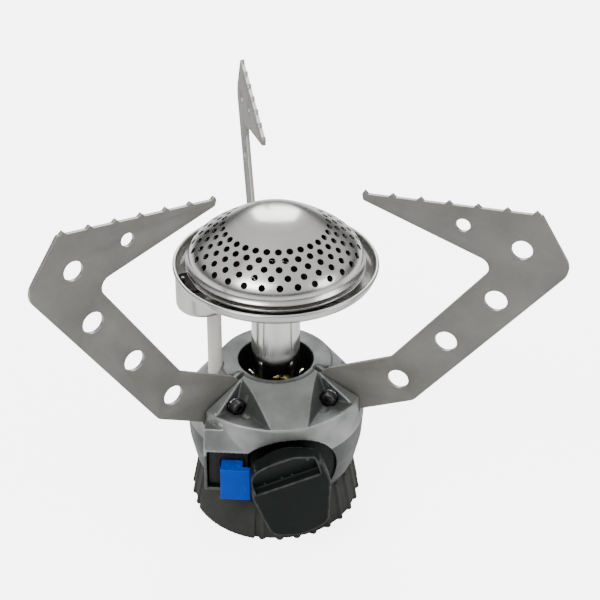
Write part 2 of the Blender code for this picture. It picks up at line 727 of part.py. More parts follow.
def facet(name, place, side):
    """A three-sided hollow in the hood that leads down to a screw head."""
    deep = Vector((PIVOT_RADIUS - 1.4 * MM, side * (CHEEK + 0.2 * MM), PIVOT_HEIGHT - 2.0 * MM))
    corners = [
        Vector((17.7 * MM, side * 1.7 * MM, HOUSING_TOP - 0.9 * MM)),
        Vector((BELT_RADIUS - 0.9 * MM, side * 6.6 * MM, HOOD_CREASE + 0.3 * MM)),
        Vector((BELT_RADIUS - 11.7 * MM, side * 24.9 * MM, HOOD_CREASE + 0.2 * MM)),
    ]
    form = bmesh.new()
    spread = 1.6
    points = [form.verts.new(deep)] + [form.verts.new(deep + (c - deep) * spread) for c in corners]
    bmesh.ops.convex_hull(form, input=points)
    bmesh.ops.recalc_face_normals(form, faces=form.faces)
    mesh = bpy.data.meshes.new(f"facet_{name}")
    form.to_mesh(mesh)
    form.free()
    return add(f"facet_{name}", mesh, place=place)


# ---------------------------------------------------------------- pan supports


def support_outline():
    """The support's outline in radius and height, with its teeth, standing straight."""
    top = HOUSING_TOP
    first = Vector((29.3 * MM, top + 77.9 * MM))
    last = Vector((91.6 * MM, top + 83.8 * MM))
    along = (last - first).normalized()
    up = Vector((-along.y, along.x))
    corners = [(*first, 0.6 * MM)]
    for k in range(TOOTH_COUNT):
        foot = first + along * (0.9 * MM + k * TOOTH_PITCH)
        if k:
            corners.append((*(foot - along * TOOTH_WIDTH / 2), 0))
        corners.append((*(foot + up * TOOTH_HEIGHT), 0))
        corners.append((*(foot + along * TOOTH_WIDTH / 2), 0))
    corners += [
        (*last, 1.0 * MM),
        (104.3 * MM, top + 65.3 * MM, 6.5 * MM),
        (54.9 * MM, top - 3.7 * MM, 5.0 * MM),
        (PIVOT_RADIUS + 2.0 * MM, PIVOT_HEIGHT - 10.3 * MM, 3.0 * MM),
        (PIVOT_RADIUS - 7.7 * MM, PIVOT_HEIGHT - 5.6 * MM, 4.5 * MM),
        (PIVOT_RADIUS - 7.7 * MM, PIVOT_HEIGHT + 4.4 * MM, 4.5 * MM),
        (PIVOT_RADIUS - 2.8 * MM, PIVOT_HEIGHT + 9.0 * MM, 1.5 * MM),
        (44.7 * MM, top + 12.9 * MM, 2.0 * MM),
        (78.6 * MM, top + 61.3 * MM, 4.0 * MM),
        (29.8 * MM, top + 75.6 * MM, 1.0 * MM),
    ]
    return rounded(corners[::-1], steps=3)


def make_supports():
    pivot = Vector((PIVOT_RADIUS, 0, PIVOT_HEIGHT))
    for name, azimuth in ARM_AZIMUTH.items():
        lean = Matrix.Rotation(math.radians(-SETTLE[name]), 4, "Y")
        place = radial(azimuth) @ Matrix.Translation(pivot) @ lean
        outline = [(x - pivot.x, z - pivot.z) for x, z in support_outline()]
        support = plate(f"pan_support_{name}", outline, PLATE, PLATE_STEEL, place)
        cutouts = []
        for k, (x, z, radius) in enumerate(SUPPORT_HOLES):
            middle = Vector((x, 0, HOUSING_TOP + z)) - pivot
            cutouts.append(plate_hole(f"hole_{name}_{k}", middle, radius, 18, place))
        cutouts.append(plate_hole(f"hole_{name}_pivot", Vector(), SCREW_RADIUS + GAP, 16, place))
        combine_all(support, f"holes_{name}", cutouts, "DIFFERENCE")


def plate_hole(name, middle, radius, segments, place):
    through = Vector((0, 2 * PLATE, 0))
    return rod(name, radius, middle - through, middle + through, segments=segments, place=place)


def make_pivots():
    """A socket-head screw, a spring washer and a nut for each support."""
    for name, azimuth in ARM_AZIMUTH.items():
        # Z of this placement runs along the screw from its nut's side to its head's side
        aim = Matrix.Rotation(-SCREW_SIDE[name] * math.pi / 2, 4, "X")
        place = radial(azimuth) @ Matrix.Translation((PIVOT_RADIUS, 0, PIVOT_HEIGHT)) @ aim
        under_head = CHEEK + GAP + WASHER + GAP
        tip = -CHEEK - GAP - NUT_HEIGHT - 0.8 * MM
        screw = turned(
            f"pivot_screw_{name}",
            [
                (0, under_head + HEAD_HEIGHT),
                (HEAD_RADIUS - 0.3 * MM, under_head + HEAD_HEIGHT),
                (HEAD_RADIUS, under_head + HEAD_HEIGHT - 0.3 * MM),
                (HEAD_RADIUS, under_head),
                (SCREW_RADIUS, under_head),
                (SCREW_RADIUS, tip),
                (0, tip),
            ],
            DARK_STEEL,
            steps=14,
            place=place,
        )
        low = (0, 0, under_head + HEAD_HEIGHT - HEX_DEPTH)
        high = (0, 0, under_head + HEAD_HEIGHT + 1 * MM)
        cut(screw, rod(f"hex_{name}", HEX_RADIUS, low, high, segments=6, place=place))
        inner, outer = SCREW_RADIUS + GAP, HEAD_RADIUS - 0.1 * MM
        ring(f"spring_washer_{name}", inner, outer, CHEEK + GAP, WASHER, BRIGHT_STEEL, place, 14)
        nut = rod(
            f"pivot_nut_{name}",
            NUT_RADIUS,
            (0, 0, -CHEEK - GAP - NUT_HEIGHT),
            (0, 0, -CHEEK - GAP),
            DARK_STEEL,
            segments=6,
            place=place,
        )
        deep = (0, 0, -2 * CHEEK - NUT_HEIGHT)
        cut(nut, rod(f"nut_bore_{name}", SCREW_RADIUS + GAP, deep, (0, 0, 0), segments=14, place=place))


def ring(name, inner, outer, low, thick, material, place=None, steps=24):
    corners = [(outer, low + thick), (outer, low), (inner, low), (inner, low + thick)]
    return turned(name, corners, material, steps, place)


# ---------------------------------------------------------------- valve and inlet


def make_valve():
    shoulder = CAVITY_TOP - GAP
    neck_top = BORE_FLOOR + 3.8 * MM
    body = turned(
        "valve_body",
        [
            (JET_THREAD + GAP, neck_top),
            (NECK_RADIUS, neck_top),
            (NECK_RADIUS, shoulder),
            (NECK_RADIUS + 2.1 * MM, shoulder),
            (NECK_RADIUS + 2.1 * MM, KNOB_HEIGHT - 8.6 * MM),
            (NECK_RADIUS - 0.9 * MM, KNOB_HEIGHT - 8.6 * MM),
            (NECK_RADIUS - 0.9 * MM, COLLAR_TOP + 0.6 * MM),
            (SEAL_RADIUS + 0.6 * MM, COLLAR_TOP + 0.6 * MM),
            (SEAL_RADIUS + 0.6 * MM, STEM_FOOT),
            (GAS_RADIUS, STEM_FOOT),
            (GAS_RADIUS, neck_top - JET_BITE - GAP),
            (JET_THREAD + GAP, neck_top - JET_BITE - GAP),
        ],
        BRASS,
        steps=28,
    )
    barrel = rod(
        "valve_barrel",
        BARREL_RADIUS,
        (0, -4 * MM, KNOB_HEIGHT),
        (0, -BARREL_END, KNOB_HEIGHT),
        segments=20,
    )
    bore = rod(
        "spindle_bore",
        SPINDLE_RADIUS + GAP,
        (0, 0, KNOB_HEIGHT),
        (0, -BARREL_END - MM, KNOB_HEIGHT),
        segments=20,
    )
    join(body, barrel)
    cut(body, bore)
    low = (0, 0, BORE_FLOOR + GAP)
    high = (0, 0, BORE_FLOOR + NUT_HEIGHT)
    nut = rod("valve_nut", VALVE_NUT_RADIUS, low, high, BRASS, segments=6)
    thread = rod("valve_nut_bore", NECK_RADIUS + GAP, (0, 0, 0), (0, 0, HOUSING_TOP), segments=28)
    cut(nut, thread)
    jet = turned(
        "gas_jet",
        [
            (0.35 * MM, JET_TOP),
            (1.5 * MM, JET_TOP),
            (2.0 * MM, JET_TOP - 2.0 * MM),
            (JET_THREAD, JET_TOP - 2.6 * MM),
            (JET_THREAD, neck_top - JET_BITE),
            (0.8 * MM, neck_top - JET_BITE),
            (0.8 * MM, JET_TOP - 1.0 * MM),
            (0.35 * MM, JET_TOP - 0.8 * MM),
        ],
        BRASS,
        steps=16,
    )
    flats = rod("jet_flats", 4.6 * MM, (0, 0, neck_top + GAP), (0, 0, neck_top + 2.6 * MM), segments=6)
    flats_bore = rod("jet_flats_bore", 2.0 * MM, (0, 0, 0), (0, 0, HOUSING_TOP), segments=20)
    cut(flats, flats_bore)
    join(jet, flats)


def make_inlet():
    """The pin that opens the cartridge, its seal, and the socket ring that holds the seal."""
    head = 1.2 * MM
    top = STEM_FOOT - GAP
    turned(
        "inlet_pin",
        [
            (0, top),
            (PIN_HEAD_RADIUS, top),
            (PIN_HEAD_RADIUS, top - head),
            (PIN_RADIUS, top - head),
            (PIN_RADIUS, 0),
            (0, 0),
        ],
        BRASS,
        steps=16,
    )
    turned(
        "inlet_seal",
        [
            (SEAL_RADIUS, top),
            (SEAL_RADIUS, top - SEAL_THICK),
            (PIN_HEAD_RADIUS + 0.4 * MM, top - SEAL_THICK),
            (PIN_HEAD_RADIUS + 0.4 * MM, top),
        ],
        RUBBER,
        steps=20,
    )
    roof = COLLAR_TOP - COLLAR_ROOF
    turned(
        "inlet_socket",
        [
            (SEAL_RADIUS + 0.9 * MM, COLLAR_TOP + 0.2 * MM),
            (INLET_RADIUS, COLLAR_TOP + 0.2 * MM),
            (INLET_RADIUS, roof - GAP),
            (INLET_RADIUS + 2.4 * MM, roof - GAP),
            (INLET_RADIUS + 2.4 * MM, roof - 2.2 * MM),
            (INLET_RADIUS + 0.4 * MM, roof - 3.6 * MM),
            (SEAL_RADIUS - 1.0 * MM, roof - 3.6 * MM),
            (SEAL_RADIUS - 1.0 * MM, top - SEAL_THICK - GAP),
            (SEAL_RADIUS + 0.9 * MM, top - SEAL_THICK - GAP),
        ],
        BRASS,
        steps=28,
    )


def make_knob_set():
    """The knob, and the spindle and its seal, which turn with it about the knob's axis."""
    axis = Matrix.Translation((0, 0, KNOB_HEIGHT)) @ Matrix.Rotation(math.radians(-KNOB_TURN), 4, "Y")
    # Z of this placement points out of the knob, towards -Y
    out = axis @ Matrix.Rotation(math.pi / 2, 4, "X")
    outline = rounded(
        [
            (-14.9 * MM, 3.0 * MM, 6 * MM),
            (-13.0 * MM, 13.6 * MM, 6 * MM),
            (0, 18.6 * MM, 14 * MM),
            (13.0 * MM, 13.6 * MM, 6 * MM),
            (14.9 * MM, 3.0 * MM, 6 * MM),
            (11.0 * MM, -16.6 * MM, 5 * MM),
            (0, -20.2 * MM, 14 * MM),
            (-11.0 * MM, -16.6 * MM, 5 * MM),
        ],
        steps=4,
    )
    knob = slab("control_knob", outline, KNOB_BACK, KNOB_FACE, BLACK, out)
    soften(knob, 1.1 * MM, segments=2, limit=50)
    lift = 3.4 * MM  # how far the scoop goes down at the grip's edge
    scoop_outline = [
        (KNOB_FACE + 2 * MM, 5.6 * MM),
        (KNOB_FACE - lift, 6.8 * MM),
        (KNOB_FACE - 1.4 * MM, 16.4 * MM),
        (KNOB_FACE + 2 * MM, 17.4 * MM),
    ]
    # drawn in depth and height, and run along X, leaning with the grip's edge
    lean = Matrix.Rotation(math.radians(7), 4, "Z")
    flip = Matrix(((0, 0, 1, 0), (0, 1, 0, 0), (1, 0, 0, 0), (0, 0, 0, 1)))
    scoop = slab("knob_scoop", scoop_outline, -12.4 * MM, 12.4 * MM, place=out @ lean @ flip)
    cut(knob, scoop)
    hub_foot = (0, 0, RECESS_FLOOR + 3 * GAP)
    socket_end = (0, 0, KNOB_BACK + SOCKET_REACH)
    hub = rod("knob_hub", KNOB_HUB_RADIUS, hub_foot, (0, 0, KNOB_BACK + 1 * MM), place=out)
    socket = rod("knob_socket", SPINDLE_RADIUS + GAP, (0, 0, 0), socket_end, segments=16, place=out)
    join(knob, hub)
    cut(knob, socket)

    tip = GAS_RADIUS + GAP
    groove = SPINDLE_RADIUS - 0.7 * MM
    turned(
        "valve_spindle",
        [
            (0, KNOB_BACK + SOCKET_REACH - GAP),
            (SPINDLE_RADIUS, KNOB_BACK + SOCKET_REACH - GAP),
            (SPINDLE_RADIUS, O_RING_AT + O_RING_GROOVE),
            (groove, O_RING_AT + O_RING_GROOVE),
            (groove, O_RING_AT),
            (SPINDLE_RADIUS, O_RING_AT),
            (SPINDLE_RADIUS, tip + 2.5 * MM),
            (0.5 * MM, tip),
            (0, tip),
        ],
        BRASS,
        steps=14,
        place=out,
    )
    inner, outer = groove + 0.1 * MM, SPINDLE_RADIUS + 0.2 * MM
    low, thick = O_RING_AT + 0.15 * MM, O_RING_GROOVE - 0.3 * MM
    ring("spindle_o_ring", inner, outer, low, thick, RUBBER, out, 14)
    gland_out = Matrix.Translation((0, 0, KNOB_HEIGHT)) @ Matrix.Rotation(math.pi / 2, 4, "X")
    inner = SPINDLE_RADIUS + GAP
    ring("gland_nut", inner, GLAND_RADIUS, BARREL_END + GAP, GLAND_LENGTH, BRASS, gland_out, 6)


# ---------------------------------------------------------------- burner


def make_mixing_tube():
    foot = BORE_FLOOR + NUT_HEIGHT + GAP
    top = PAN_FLOOR + 3.6 * MM
    inner = TUBE_RADIUS - TUBE_WALL
    bead = PAN_FLOOR - GAP
    tube = turned(
        "mixing_tube",
        [
            (TUBE_RADIUS, top),
            (TUBE_RADIUS, bead),
            (TUBE_RADIUS + 1.1 * MM, bead - 0.5 * MM),
            (TUBE_RADIUS + 1.1 * MM, bead - 1.2 * MM),
            (TUBE_RADIUS, bead - 1.8 * MM),
            (TUBE_RADIUS, foot),
            (inner, foot),
            (inner, top),
        ],
        BRIGHT_STEEL,
        steps=36,
    )
    low = foot + 2.2 * MM
    high = HOUSING_TOP - 1.5 * MM
    half = WINDOW_WIDTH / 2
    shoulder = 2.5 * MM
    window = [
        (-half, high - shoulder),
        (-half + shoulder, high),
        (half - shoulder, high),
        (half, high - shoulder),
        (half, low),
        (-half, low),
    ]
    out = Matrix.Translation((TUBE_RADIUS, 0, 0)) @ Matrix.Rotation(math.pi / 2, 4, "Z")
    openings = []
    for k in range(WINDOW_COUNT):
        aim = radial(FIRST_WINDOW + 360 / WINDOW_COUNT * k) @ out
        openings.append(plate(f"air_window_{k}", window, TUBE_RADIUS / 2, place=aim))
    combine_all(tube, "air_windows", openings, "DIFFERENCE")


def make_tube_retainer():
    """A flat spring ring round the tube's foot, with two ears that stand in the bore."""
    base = BORE_FLOOR + NUT_HEIGHT + GAP
    retainer = turned(
        "tube_retainer",
        [
            (BORE_RADIUS - GAP, base + RETAINER_SHEET),
            (BORE_RADIUS - GAP, base),
            (TUBE_RADIUS + GAP, base),
            (TUBE_RADIUS + GAP, base + RETAINER_SHEET),
        ],
        BRIGHT_STEEL,
        steps=28,
    )
    for k, azimuth in enumerate(EAR_AZIMUTHS):
        low = (EAR_DISTANCE, -EAR_WIDTH / 2, base + 0.1 * MM)
        high = (EAR_DISTANCE + RETAINER_SHEET, EAR_WIDTH / 2, HOUSING_TOP - 0.4 * MM)
        join(retainer, block(f"ear_{k}", low, high, place=radial(azimuth)))


def make_burner_cup():
    """The lower half of the burner's head, from the tube out to the flange under the dome's rim."""
    inner = TUBE_RADIUS + GAP
    floor = PAN_FLOOR + SHEET + GAP
    lip = RIM_HEIGHT - GAP
    turned(
        "burner_cup",
        [
            (inner, floor + 3.0 * MM),
            (inner, floor),
            (inner + 3.2 * MM, floor),
            (DOME_RADIUS - 3.5 * MM, lip - 4.3 * MM),
            (DOME_RADIUS - 1.6 * MM, lip - SHEET),
            (DOME_RADIUS, lip - SHEET),
            (DOME_RADIUS, lip),
            (DOME_RADIUS - 1.9 * MM, lip),
            (DOME_RADIUS - 1.9 * MM, lip + 1.2 * MM),
            (DOME_RADIUS - 2.7 * MM, lip + 1.2 * MM),
            (DOME_RADIUS - 2.7 * MM, lip - 1.4 * MM),
            (DOME_RADIUS - 4.4 * MM, lip - 3.6 * MM),
            (inner + 3.2 * MM, floor + SHEET),
            (inner + SHEET, floor + SHEET),
            (inner + SHEET, floor + 3.0 * MM),
        ],
        BRIGHT_STEEL,
        steps=36,
    )


def dome_profile(offset):
    """The dome's outside, or a surface the offset inside it, from its top down to its rim."""
    shoulder = DOME_RADIUS - 1.1 * MM
    points = [(0.0, DOME_RISE - offset)]
    for share, rise in DOME_SHAPE:
        slope = math.atan2(rise, share)
        x = shoulder * share - offset * math.cos(slope)
        z = DOME_RISE * rise - offset * math.sin(slope)
        points.append((x, z))
    return points


def make_dome():
    outer_line = [(r, RIM_HEIGHT + z) for r, z in dome_profile(0)]
    inner_line = [(r, RIM_HEIGHT + z) for r, z in dome_profile(SHEET)]
    rim = [
        (DOME_RADIUS - 0.3 * MM, RIM_HEIGHT + 2.1 * MM),
        (DOME_RADIUS, RIM_HEIGHT + 1.5 * MM),
        (DOME_RADIUS, RIM_HEIGHT),
        (DOME_RADIUS - 1.0 * MM, RIM_HEIGHT),
    ]
    dome = turned("burner_dome", outer_line + rim + inner_line[::-1], BRIGHT_STEEL, steps=HOLES_PER_ROW)
    holes = []
    for row in range(DOME_ROWS):
        middle, outward = on_dome(row)
        inside = middle - outward * 2.5 * SHEET
        outside = middle + outward * SHEET
        for k in range(HOLES_PER_ROW):
            aim = radial(360.0 / HOLES_PER_ROW * (k + 0.5 * (row % 2)))
            holes.append(rod(f"flame_hole_{row}_{k}", HOLE_RADIUS, inside, outside, segments=4, place=aim))
    combine_all(dome, "flame_holes", holes, "DIFFERENCE")


def on_dome(row):
    """A row's place on the dome's outside, at azimuth 0, and the way the surface faces there."""
    profile = dome_profile(0)
    lengths = [0.0]
    for a, b in zip(profile, profile[1:]):
        lengths.append(lengths[-1] + math.dist(a, b))
    along = FIRST_ROW + row * ROW_PITCH
    k = max(i for i in range(len(lengths) - 1) if lengths[i] <= along)
    share = (along - lengths[k]) / (lengths[k + 1] - lengths[k])
    a, b = Vector(profile[k]), Vector(profile[k + 1])
    point = a.lerp(b, share)
    run = (b - a).normalized()
    return Vector((point.x, 0, RIM_HEIGHT + point.y)), Vector((-run.y, 0, run.x))


def make_pan():
    """The pressed pan round the burner's head, with a deeper pocket for the electrode."""
    hole = TUBE_RADIUS + GAP
    pan = turned("burner_pan", pan_profile(0), BRIGHT_STEEL, steps=36)
    hollow = turned("pan_hollow", pan_profile(SHEET), steps=36)
    middle = polar(POCKET_DISTANCE, POCKET_AZIMUTH, 0)
    low = Vector((middle.x, middle.y, POCKET_FLOOR))
    high = Vector((middle.x, middle.y, RIM_HEIGHT - 1.2 * MM))
    thick = Vector((0, 0, SHEET))
    pocket = rod("pan_pocket", POCKET_RADIUS, low, high, segments=20)
    soften(pocket, 2.4 * MM)
    inside = rod("pocket_hollow", POCKET_RADIUS - SHEET, low + thick, high + 4 * thick, segments=20)
    soften(inside, 1.8 * MM)
    join(pan, pocket)
    cut(pan, hollow, inside)
    cut(pan, rod("pan_hole", hole, (0, 0, PAN_FLOOR - 9 * MM), (0, 0, RIM_HEIGHT), segments=28))
    foot = polar(ELECTRODE_DISTANCE, ELECTRODE_AZIMUTH, POCKET_FLOOR - 2 * MM)
    top = polar(ELECTRODE_DISTANCE, ELECTRODE_AZIMUTH, POCKET_FLOOR + 3 * MM)
    cut(pan, rod("ceramic_hole", CERAMIC_RADIUS + GAP, foot, top, segments=24))


def pan_profile(inset):
    """The pan's outside as a solid of revolution, or its hollow, which is open at the top."""
    floor = PAN_FLOOR + inset
    rim = RIM_HEIGHT + (2 * MM if inset else 0)
    edge = PAN_RADIUS - inset
    return [
        (0, rim),
        (edge, rim),
        (edge, RIM_HEIGHT - 1.6 * MM),
        (edge - 0.7 * MM, RIM_HEIGHT - 3.2 * MM),
        (edge - 3.2 * MM, RIM_HEIGHT - 5.0 * MM + 0.4 * inset),
        (edge - 8.0 * MM, RIM_HEIGHT - 7.6 * MM + 0.7 * inset),
        (edge - 13.0 * MM, floor),
        (0, floor),
    ]


# ---------------------------------------------------------------- igniter


def make_igniter():
    stand = Matrix.Translation(polar(ELECTRODE_DISTANCE, ELECTRODE_AZIMUTH, 0))
    top = POCKET_FLOOR + 3.6 * MM
    foot = CAVITY_TOP - 1.6 * MM
    pin = ELECTRODE_WIRE
    turned(
        "electrode_ceramic",
        [
            (pin + GAP, top),
            (CERAMIC_RADIUS - 0.4 * MM, top),
            (CERAMIC_RADIUS, top - 0.5 * MM),
            (CERAMIC_RADIUS, foot),
            (pin + GAP, foot),
        ],
        CERAMIC,
        steps=16,
        place=stand,
    )
    tip = polar(DOME_RADIUS + 1.9 * MM, ELECTRODE_AZIMUTH + 6, RIM_HEIGHT - 1.0 * MM)
    base = polar(ELECTRODE_DISTANCE, ELECTRODE_AZIMUTH, 0)
    route = [
        base + Vector((0, 0, foot - 2.0 * MM)),
        base + Vector((0, 0, top + 1.0 * MM)),
        base.lerp(Vector((tip.x, tip.y, 0)), 0.12) + Vector((0, 0, top + 1.9 * MM)),
        base.lerp(Vector((tip.x, tip.y, 0)), 0.85) + Vector((0, 0, top + 3.4 * MM)),
        Vector((tip.x, tip.y, top + 4.6 * MM)),
        tip,
    ]
    wire("electrode_pin", route, pin, BRIGHT_STEEL)
    ring(
        "electrode_clip",
        CERAMIC_RADIUS + GAP,
        CERAMIC_RADIUS + CLIP_WIDTH,
        CAVITY_TOP - GAP - 0.8 * MM,
        0.8 * MM,
        DARK_STEEL,
        stand,
        16,
    )
    piezo_box(
        "piezo_igniter",
        -UNIT_HALF,
        UNIT_HALF,
        UNIT_BACK,
        UNIT_FRONT - 0.9 * MM,
        PIEZO_HEIGHT - UNIT_HALF,
        PIEZO_HEIGHT + UNIT_HALF,
        BLACK,
        bevel=0.5 * MM,
    )
    frame = piezo_box(
        "piezo_frame",
        -FRAME_LEFT,
        FRAME_RIGHT,
        UNIT_FRONT - GAP,
        FRAME_FACE,
        PIEZO_HEIGHT - FRAME_BELOW,
        PIEZO_HEIGHT + FRAME_ABOVE,
        BLACK,
        bevel=0.4 * MM,
    )
    half = BUTTON_WIDTH / 2
    guide = piezo_box(
        "button_guide",
        -half - BUTTON_PLAY,
        half + BUTTON_PLAY,
        UNIT_BACK,
        BUTTON_FACE,
        BUTTON_TOP - BUTTON_HEIGHT - BUTTON_PLAY,
        BUTTON_TOP + BUTTON_PLAY,
    )
    cut(frame, guide)
    button = piezo_box(
        "piezo_button",
        -half,
        half,
        BUTTON_BACK,
        BUTTON_FACE - 0.5 * MM,
        BUTTON_TOP - BUTTON_HEIGHT,
        BUTTON_TOP,
        BLUE,
    )
    pad = piezo_box(
        "button_pad",
        -half,
        PAD_WIDTH - half,
        BUTTON_FACE - PAD_THICK,
        BUTTON_FACE,
        BUTTON_TOP - PAD_HEIGHT,
        BUTTON_TOP,
        bevel=0.6 * MM,
    )
    join(button, pad)
    stem = Matrix.Translation((BUTTON_OFFSET, 0, BUTTON_TOP - BUTTON_HEIGHT / 2))
    axis = block_place() @ stem @ Matrix.Rotation(math.pi / 2, 4, "X")
    coils = 4
    turns = 8
    low, high = UNIT_FRONT - GAP / 2, BUTTON_BACK - GAP - SPRING_WIRE
    rise = high - low - SPRING_WIRE
    points = []
    for k in range(coils * turns + 1):
        angle = 2 * math.pi * k / turns
        height = low + SPRING_WIRE + rise * k / (coils * turns)
        points.append((SPRING_RADIUS * math.cos(angle), SPRING_RADIUS * math.sin(angle), height))
    wire("button_spring", points, SPRING_WIRE, BRIGHT_STEEL, resolution=1, place=axis)
    lead_from = Vector((base.x, base.y, foot - 2.3 * MM))
    back = block_place() @ Vector((BUTTON_OFFSET, -UNIT_BACK + GAP + 0.2 * MM, PIEZO_HEIGHT))
    side = block_place() @ Vector((BUTTON_OFFSET - 1.0 * MM, -UNIT_BACK + 4.0 * MM, PIEZO_HEIGHT))
    wire("ignition_lead", lead_route(lead_from, back, side), LEAD_RADIUS, RUBBER)


def lead_route(start, end, before_end):
    """A smooth route for the lead, from the electrode down and round to the back of the igniter."""
    down = start - Vector((0, 0, 9 * MM))
    control = [start, down, before_end, end]
    route = []
    for k in range(13):
        t = k / 12
        weights = ((1 - t) ** 3, 3 * t * (1 - t) ** 2, 3 * t * t * (1 - t), t**3)
        route.append(sum((w * p for w, p in zip(weights, control)), Vector()))
    return route


make_collar()
make_lock_ring()
make_collar_screws()
make_housing()
make_supports()
make_pivots()
make_valve()
make_inlet()
make_knob_set()
make_mixing_tube()
make_tube_retainer()
make_burner_cup()
make_dome()
make_pan()
make_igniter()


def settle(piece):
    """The piece's mesh with its modifiers applied, smooth where it is round and sharp at its edges."""
    graph = bpy.context.evaluated_depsgraph_get()
    mesh = bpy.data.meshes.new_from_object(piece.evaluated_get(graph))
    mesh.name = piece.name
    mesh.shade_smooth()
    mesh.set_sharp_from_angle(angle=math.radians(35))
    piece.modifiers.clear()
    piece.data = mesh


bpy.context.view_layer.update()
for piece in list(parts.objects):
    settle(piece)
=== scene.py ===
# %% [markdown]
# # A camping stove burner, finished piece by piece
# The stove is a small gas burner that stands on a cartridge. Its working model, with every part at its
# size and every hinge in place, is loaded as a fixed frame. Each cell below takes one piece of it, says what
# the piece is and how it is made, and puts a finer shape with a real finish in the place of the plain one.

import json
import math

import bmesh
import bpy
import numpy as np
from mathutils import Matrix, Vector

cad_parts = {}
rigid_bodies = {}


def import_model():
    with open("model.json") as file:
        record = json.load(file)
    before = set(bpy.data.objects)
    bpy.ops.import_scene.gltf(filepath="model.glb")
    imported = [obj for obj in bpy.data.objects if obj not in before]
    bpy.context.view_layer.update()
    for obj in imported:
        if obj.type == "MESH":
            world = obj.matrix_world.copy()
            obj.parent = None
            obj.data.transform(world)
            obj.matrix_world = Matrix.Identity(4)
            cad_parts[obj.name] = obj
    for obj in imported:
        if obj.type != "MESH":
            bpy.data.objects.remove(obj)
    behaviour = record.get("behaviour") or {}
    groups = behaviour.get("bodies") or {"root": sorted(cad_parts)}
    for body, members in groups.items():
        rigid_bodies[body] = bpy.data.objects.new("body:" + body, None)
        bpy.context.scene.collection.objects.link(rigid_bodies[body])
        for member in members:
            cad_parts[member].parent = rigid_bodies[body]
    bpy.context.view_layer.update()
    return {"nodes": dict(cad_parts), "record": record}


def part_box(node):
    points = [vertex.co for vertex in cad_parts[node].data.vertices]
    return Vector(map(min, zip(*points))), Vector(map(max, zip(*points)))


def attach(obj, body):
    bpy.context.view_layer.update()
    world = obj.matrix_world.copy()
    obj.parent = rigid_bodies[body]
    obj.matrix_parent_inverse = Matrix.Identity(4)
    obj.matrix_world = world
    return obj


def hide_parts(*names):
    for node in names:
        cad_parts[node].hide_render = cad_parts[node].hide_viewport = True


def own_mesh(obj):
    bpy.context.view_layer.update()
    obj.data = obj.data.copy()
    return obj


for leftover in list(bpy.data.objects):
    bpy.data.objects.remove(leftover)

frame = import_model()

# %% [markdown]
# The camera comes before anything is made, so that every step can be looked at from the same place. It
# stands above the knob and a little to its left, half a metre from the burner's rim, with a long lens, which
# keeps the three pan supports from looking stretched.

# %% Camera
MM = 0.001
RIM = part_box("burner_dome")[0].z
CAMERA_AZIMUTH, CAMERA_ELEVATION = math.radians(-8.7), math.radians(31.2)
CAMERA_DISTANCE = 499.5 * MM
LENS, SHIFT_RIGHT, SHIFT_DOWN = 82.0, 0.0404, 0.0661

camera = bpy.data.objects.new("camera", bpy.data.cameras.new("camera"))
bpy.context.scene.collection.objects.link(camera)
bpy.context.scene.camera = camera
sight = Vector(
    (
        math.sin(CAMERA_AZIMUTH) * math.cos(CAMERA_ELEVATION),
        -math.cos(CAMERA_AZIMUTH) * math.cos(CAMERA_ELEVATION),
        math.sin(CAMERA_ELEVATION),
    )
)
camera.location = Vector((0, 0, RIM)) + sight * CAMERA_DISTANCE
camera.rotation_euler = sight.to_track_quat("Z", "Y").to_euler()
camera.data.lens = LENS
camera.data.shift_x = SHIFT_RIGHT
camera.data.shift_y = -SHIFT_DOWN
camera.data.clip_start = 0.01
print("camera at", [round(value, 3) for value in camera.location])

# %% [markdown]
# Bright metal shows its surroundings more than its own colour, so the light is planned like a product
# shot: a pale room, one large soft light high on the left, a weaker one on the right and one behind. The room
# has a dark band just above eye level, and that is what draws the dark bands on the tube and the dome.

# %% Room, floor and lights
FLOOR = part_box("base_collar")[0].z
FLOOR_SIZE, FLOOR_GAP = 6.0, 0.05 * MM
ROOM_GREYS = ((0.46, 0.60), (0.51, 0.05), (0.61, 0.09), (0.74, 0.90))  # height from down to up, and grey
FLOOR_GLOW_ON_PARTS, FLOOR_GLOW_SEEN = 0.12, 5.0

world = bpy.data.worlds.new("room")
bpy.context.scene.world = world
world.use_nodes = True
sky = world.node_tree
sky.nodes.clear()
way = sky.nodes.new("ShaderNodeTexCoord")
parts_of_way = sky.nodes.new("ShaderNodeSeparateXYZ")
shades = sky.nodes.new("ShaderNodeValToRGB")
shades.color_ramp.elements[0].position = 0.0
shades.color_ramp.elements[0].color = (0.95, 0.95, 0.95, 1)
shades.color_ramp.elements[1].position = 1.0
shades.color_ramp.elements[1].color = (1.0, 1.0, 1.0, 1)
for position, grey in ROOM_GREYS:
    stop = shades.color_ramp.elements.new(position)
    stop.color = (grey, grey, grey * 1.01, 1)
half = sky.nodes.new("ShaderNodeMath")
half.operation = "MULTIPLY_ADD"
half.inputs[1].default_value = 0.5
half.inputs[2].default_value = 0.5
backdrop = sky.nodes.new("ShaderNodeBackground")
backdrop.inputs["Strength"].default_value = 0.85
output = sky.nodes.new("ShaderNodeOutputWorld")
sky.links.new(way.outputs["Generated"], parts_of_way.inputs[0])
sky.links.new(parts_of_way.outputs["Z"], half.inputs[0])
sky.links.new(half.outputs[0], shades.inputs[0])
sky.links.new(shades.outputs["Color"], backdrop.inputs["Color"])
sky.links.new(backdrop.outputs[0], output.inputs["Surface"])


def lamp(name, place, size, power, aim=(0, 0, 0.06)):
    """A square soft light that looks at a point on the burner."""
    light = bpy.data.objects.new(name, bpy.data.lights.new(name, "AREA"))
    light.data.size = size
    light.data.energy = power
    light.location = place
    light.rotation_euler = (Vector(place) - Vector(aim)).to_track_quat("Z", "Y").to_euler()
    bpy.context.scene.collection.objects.link(light)


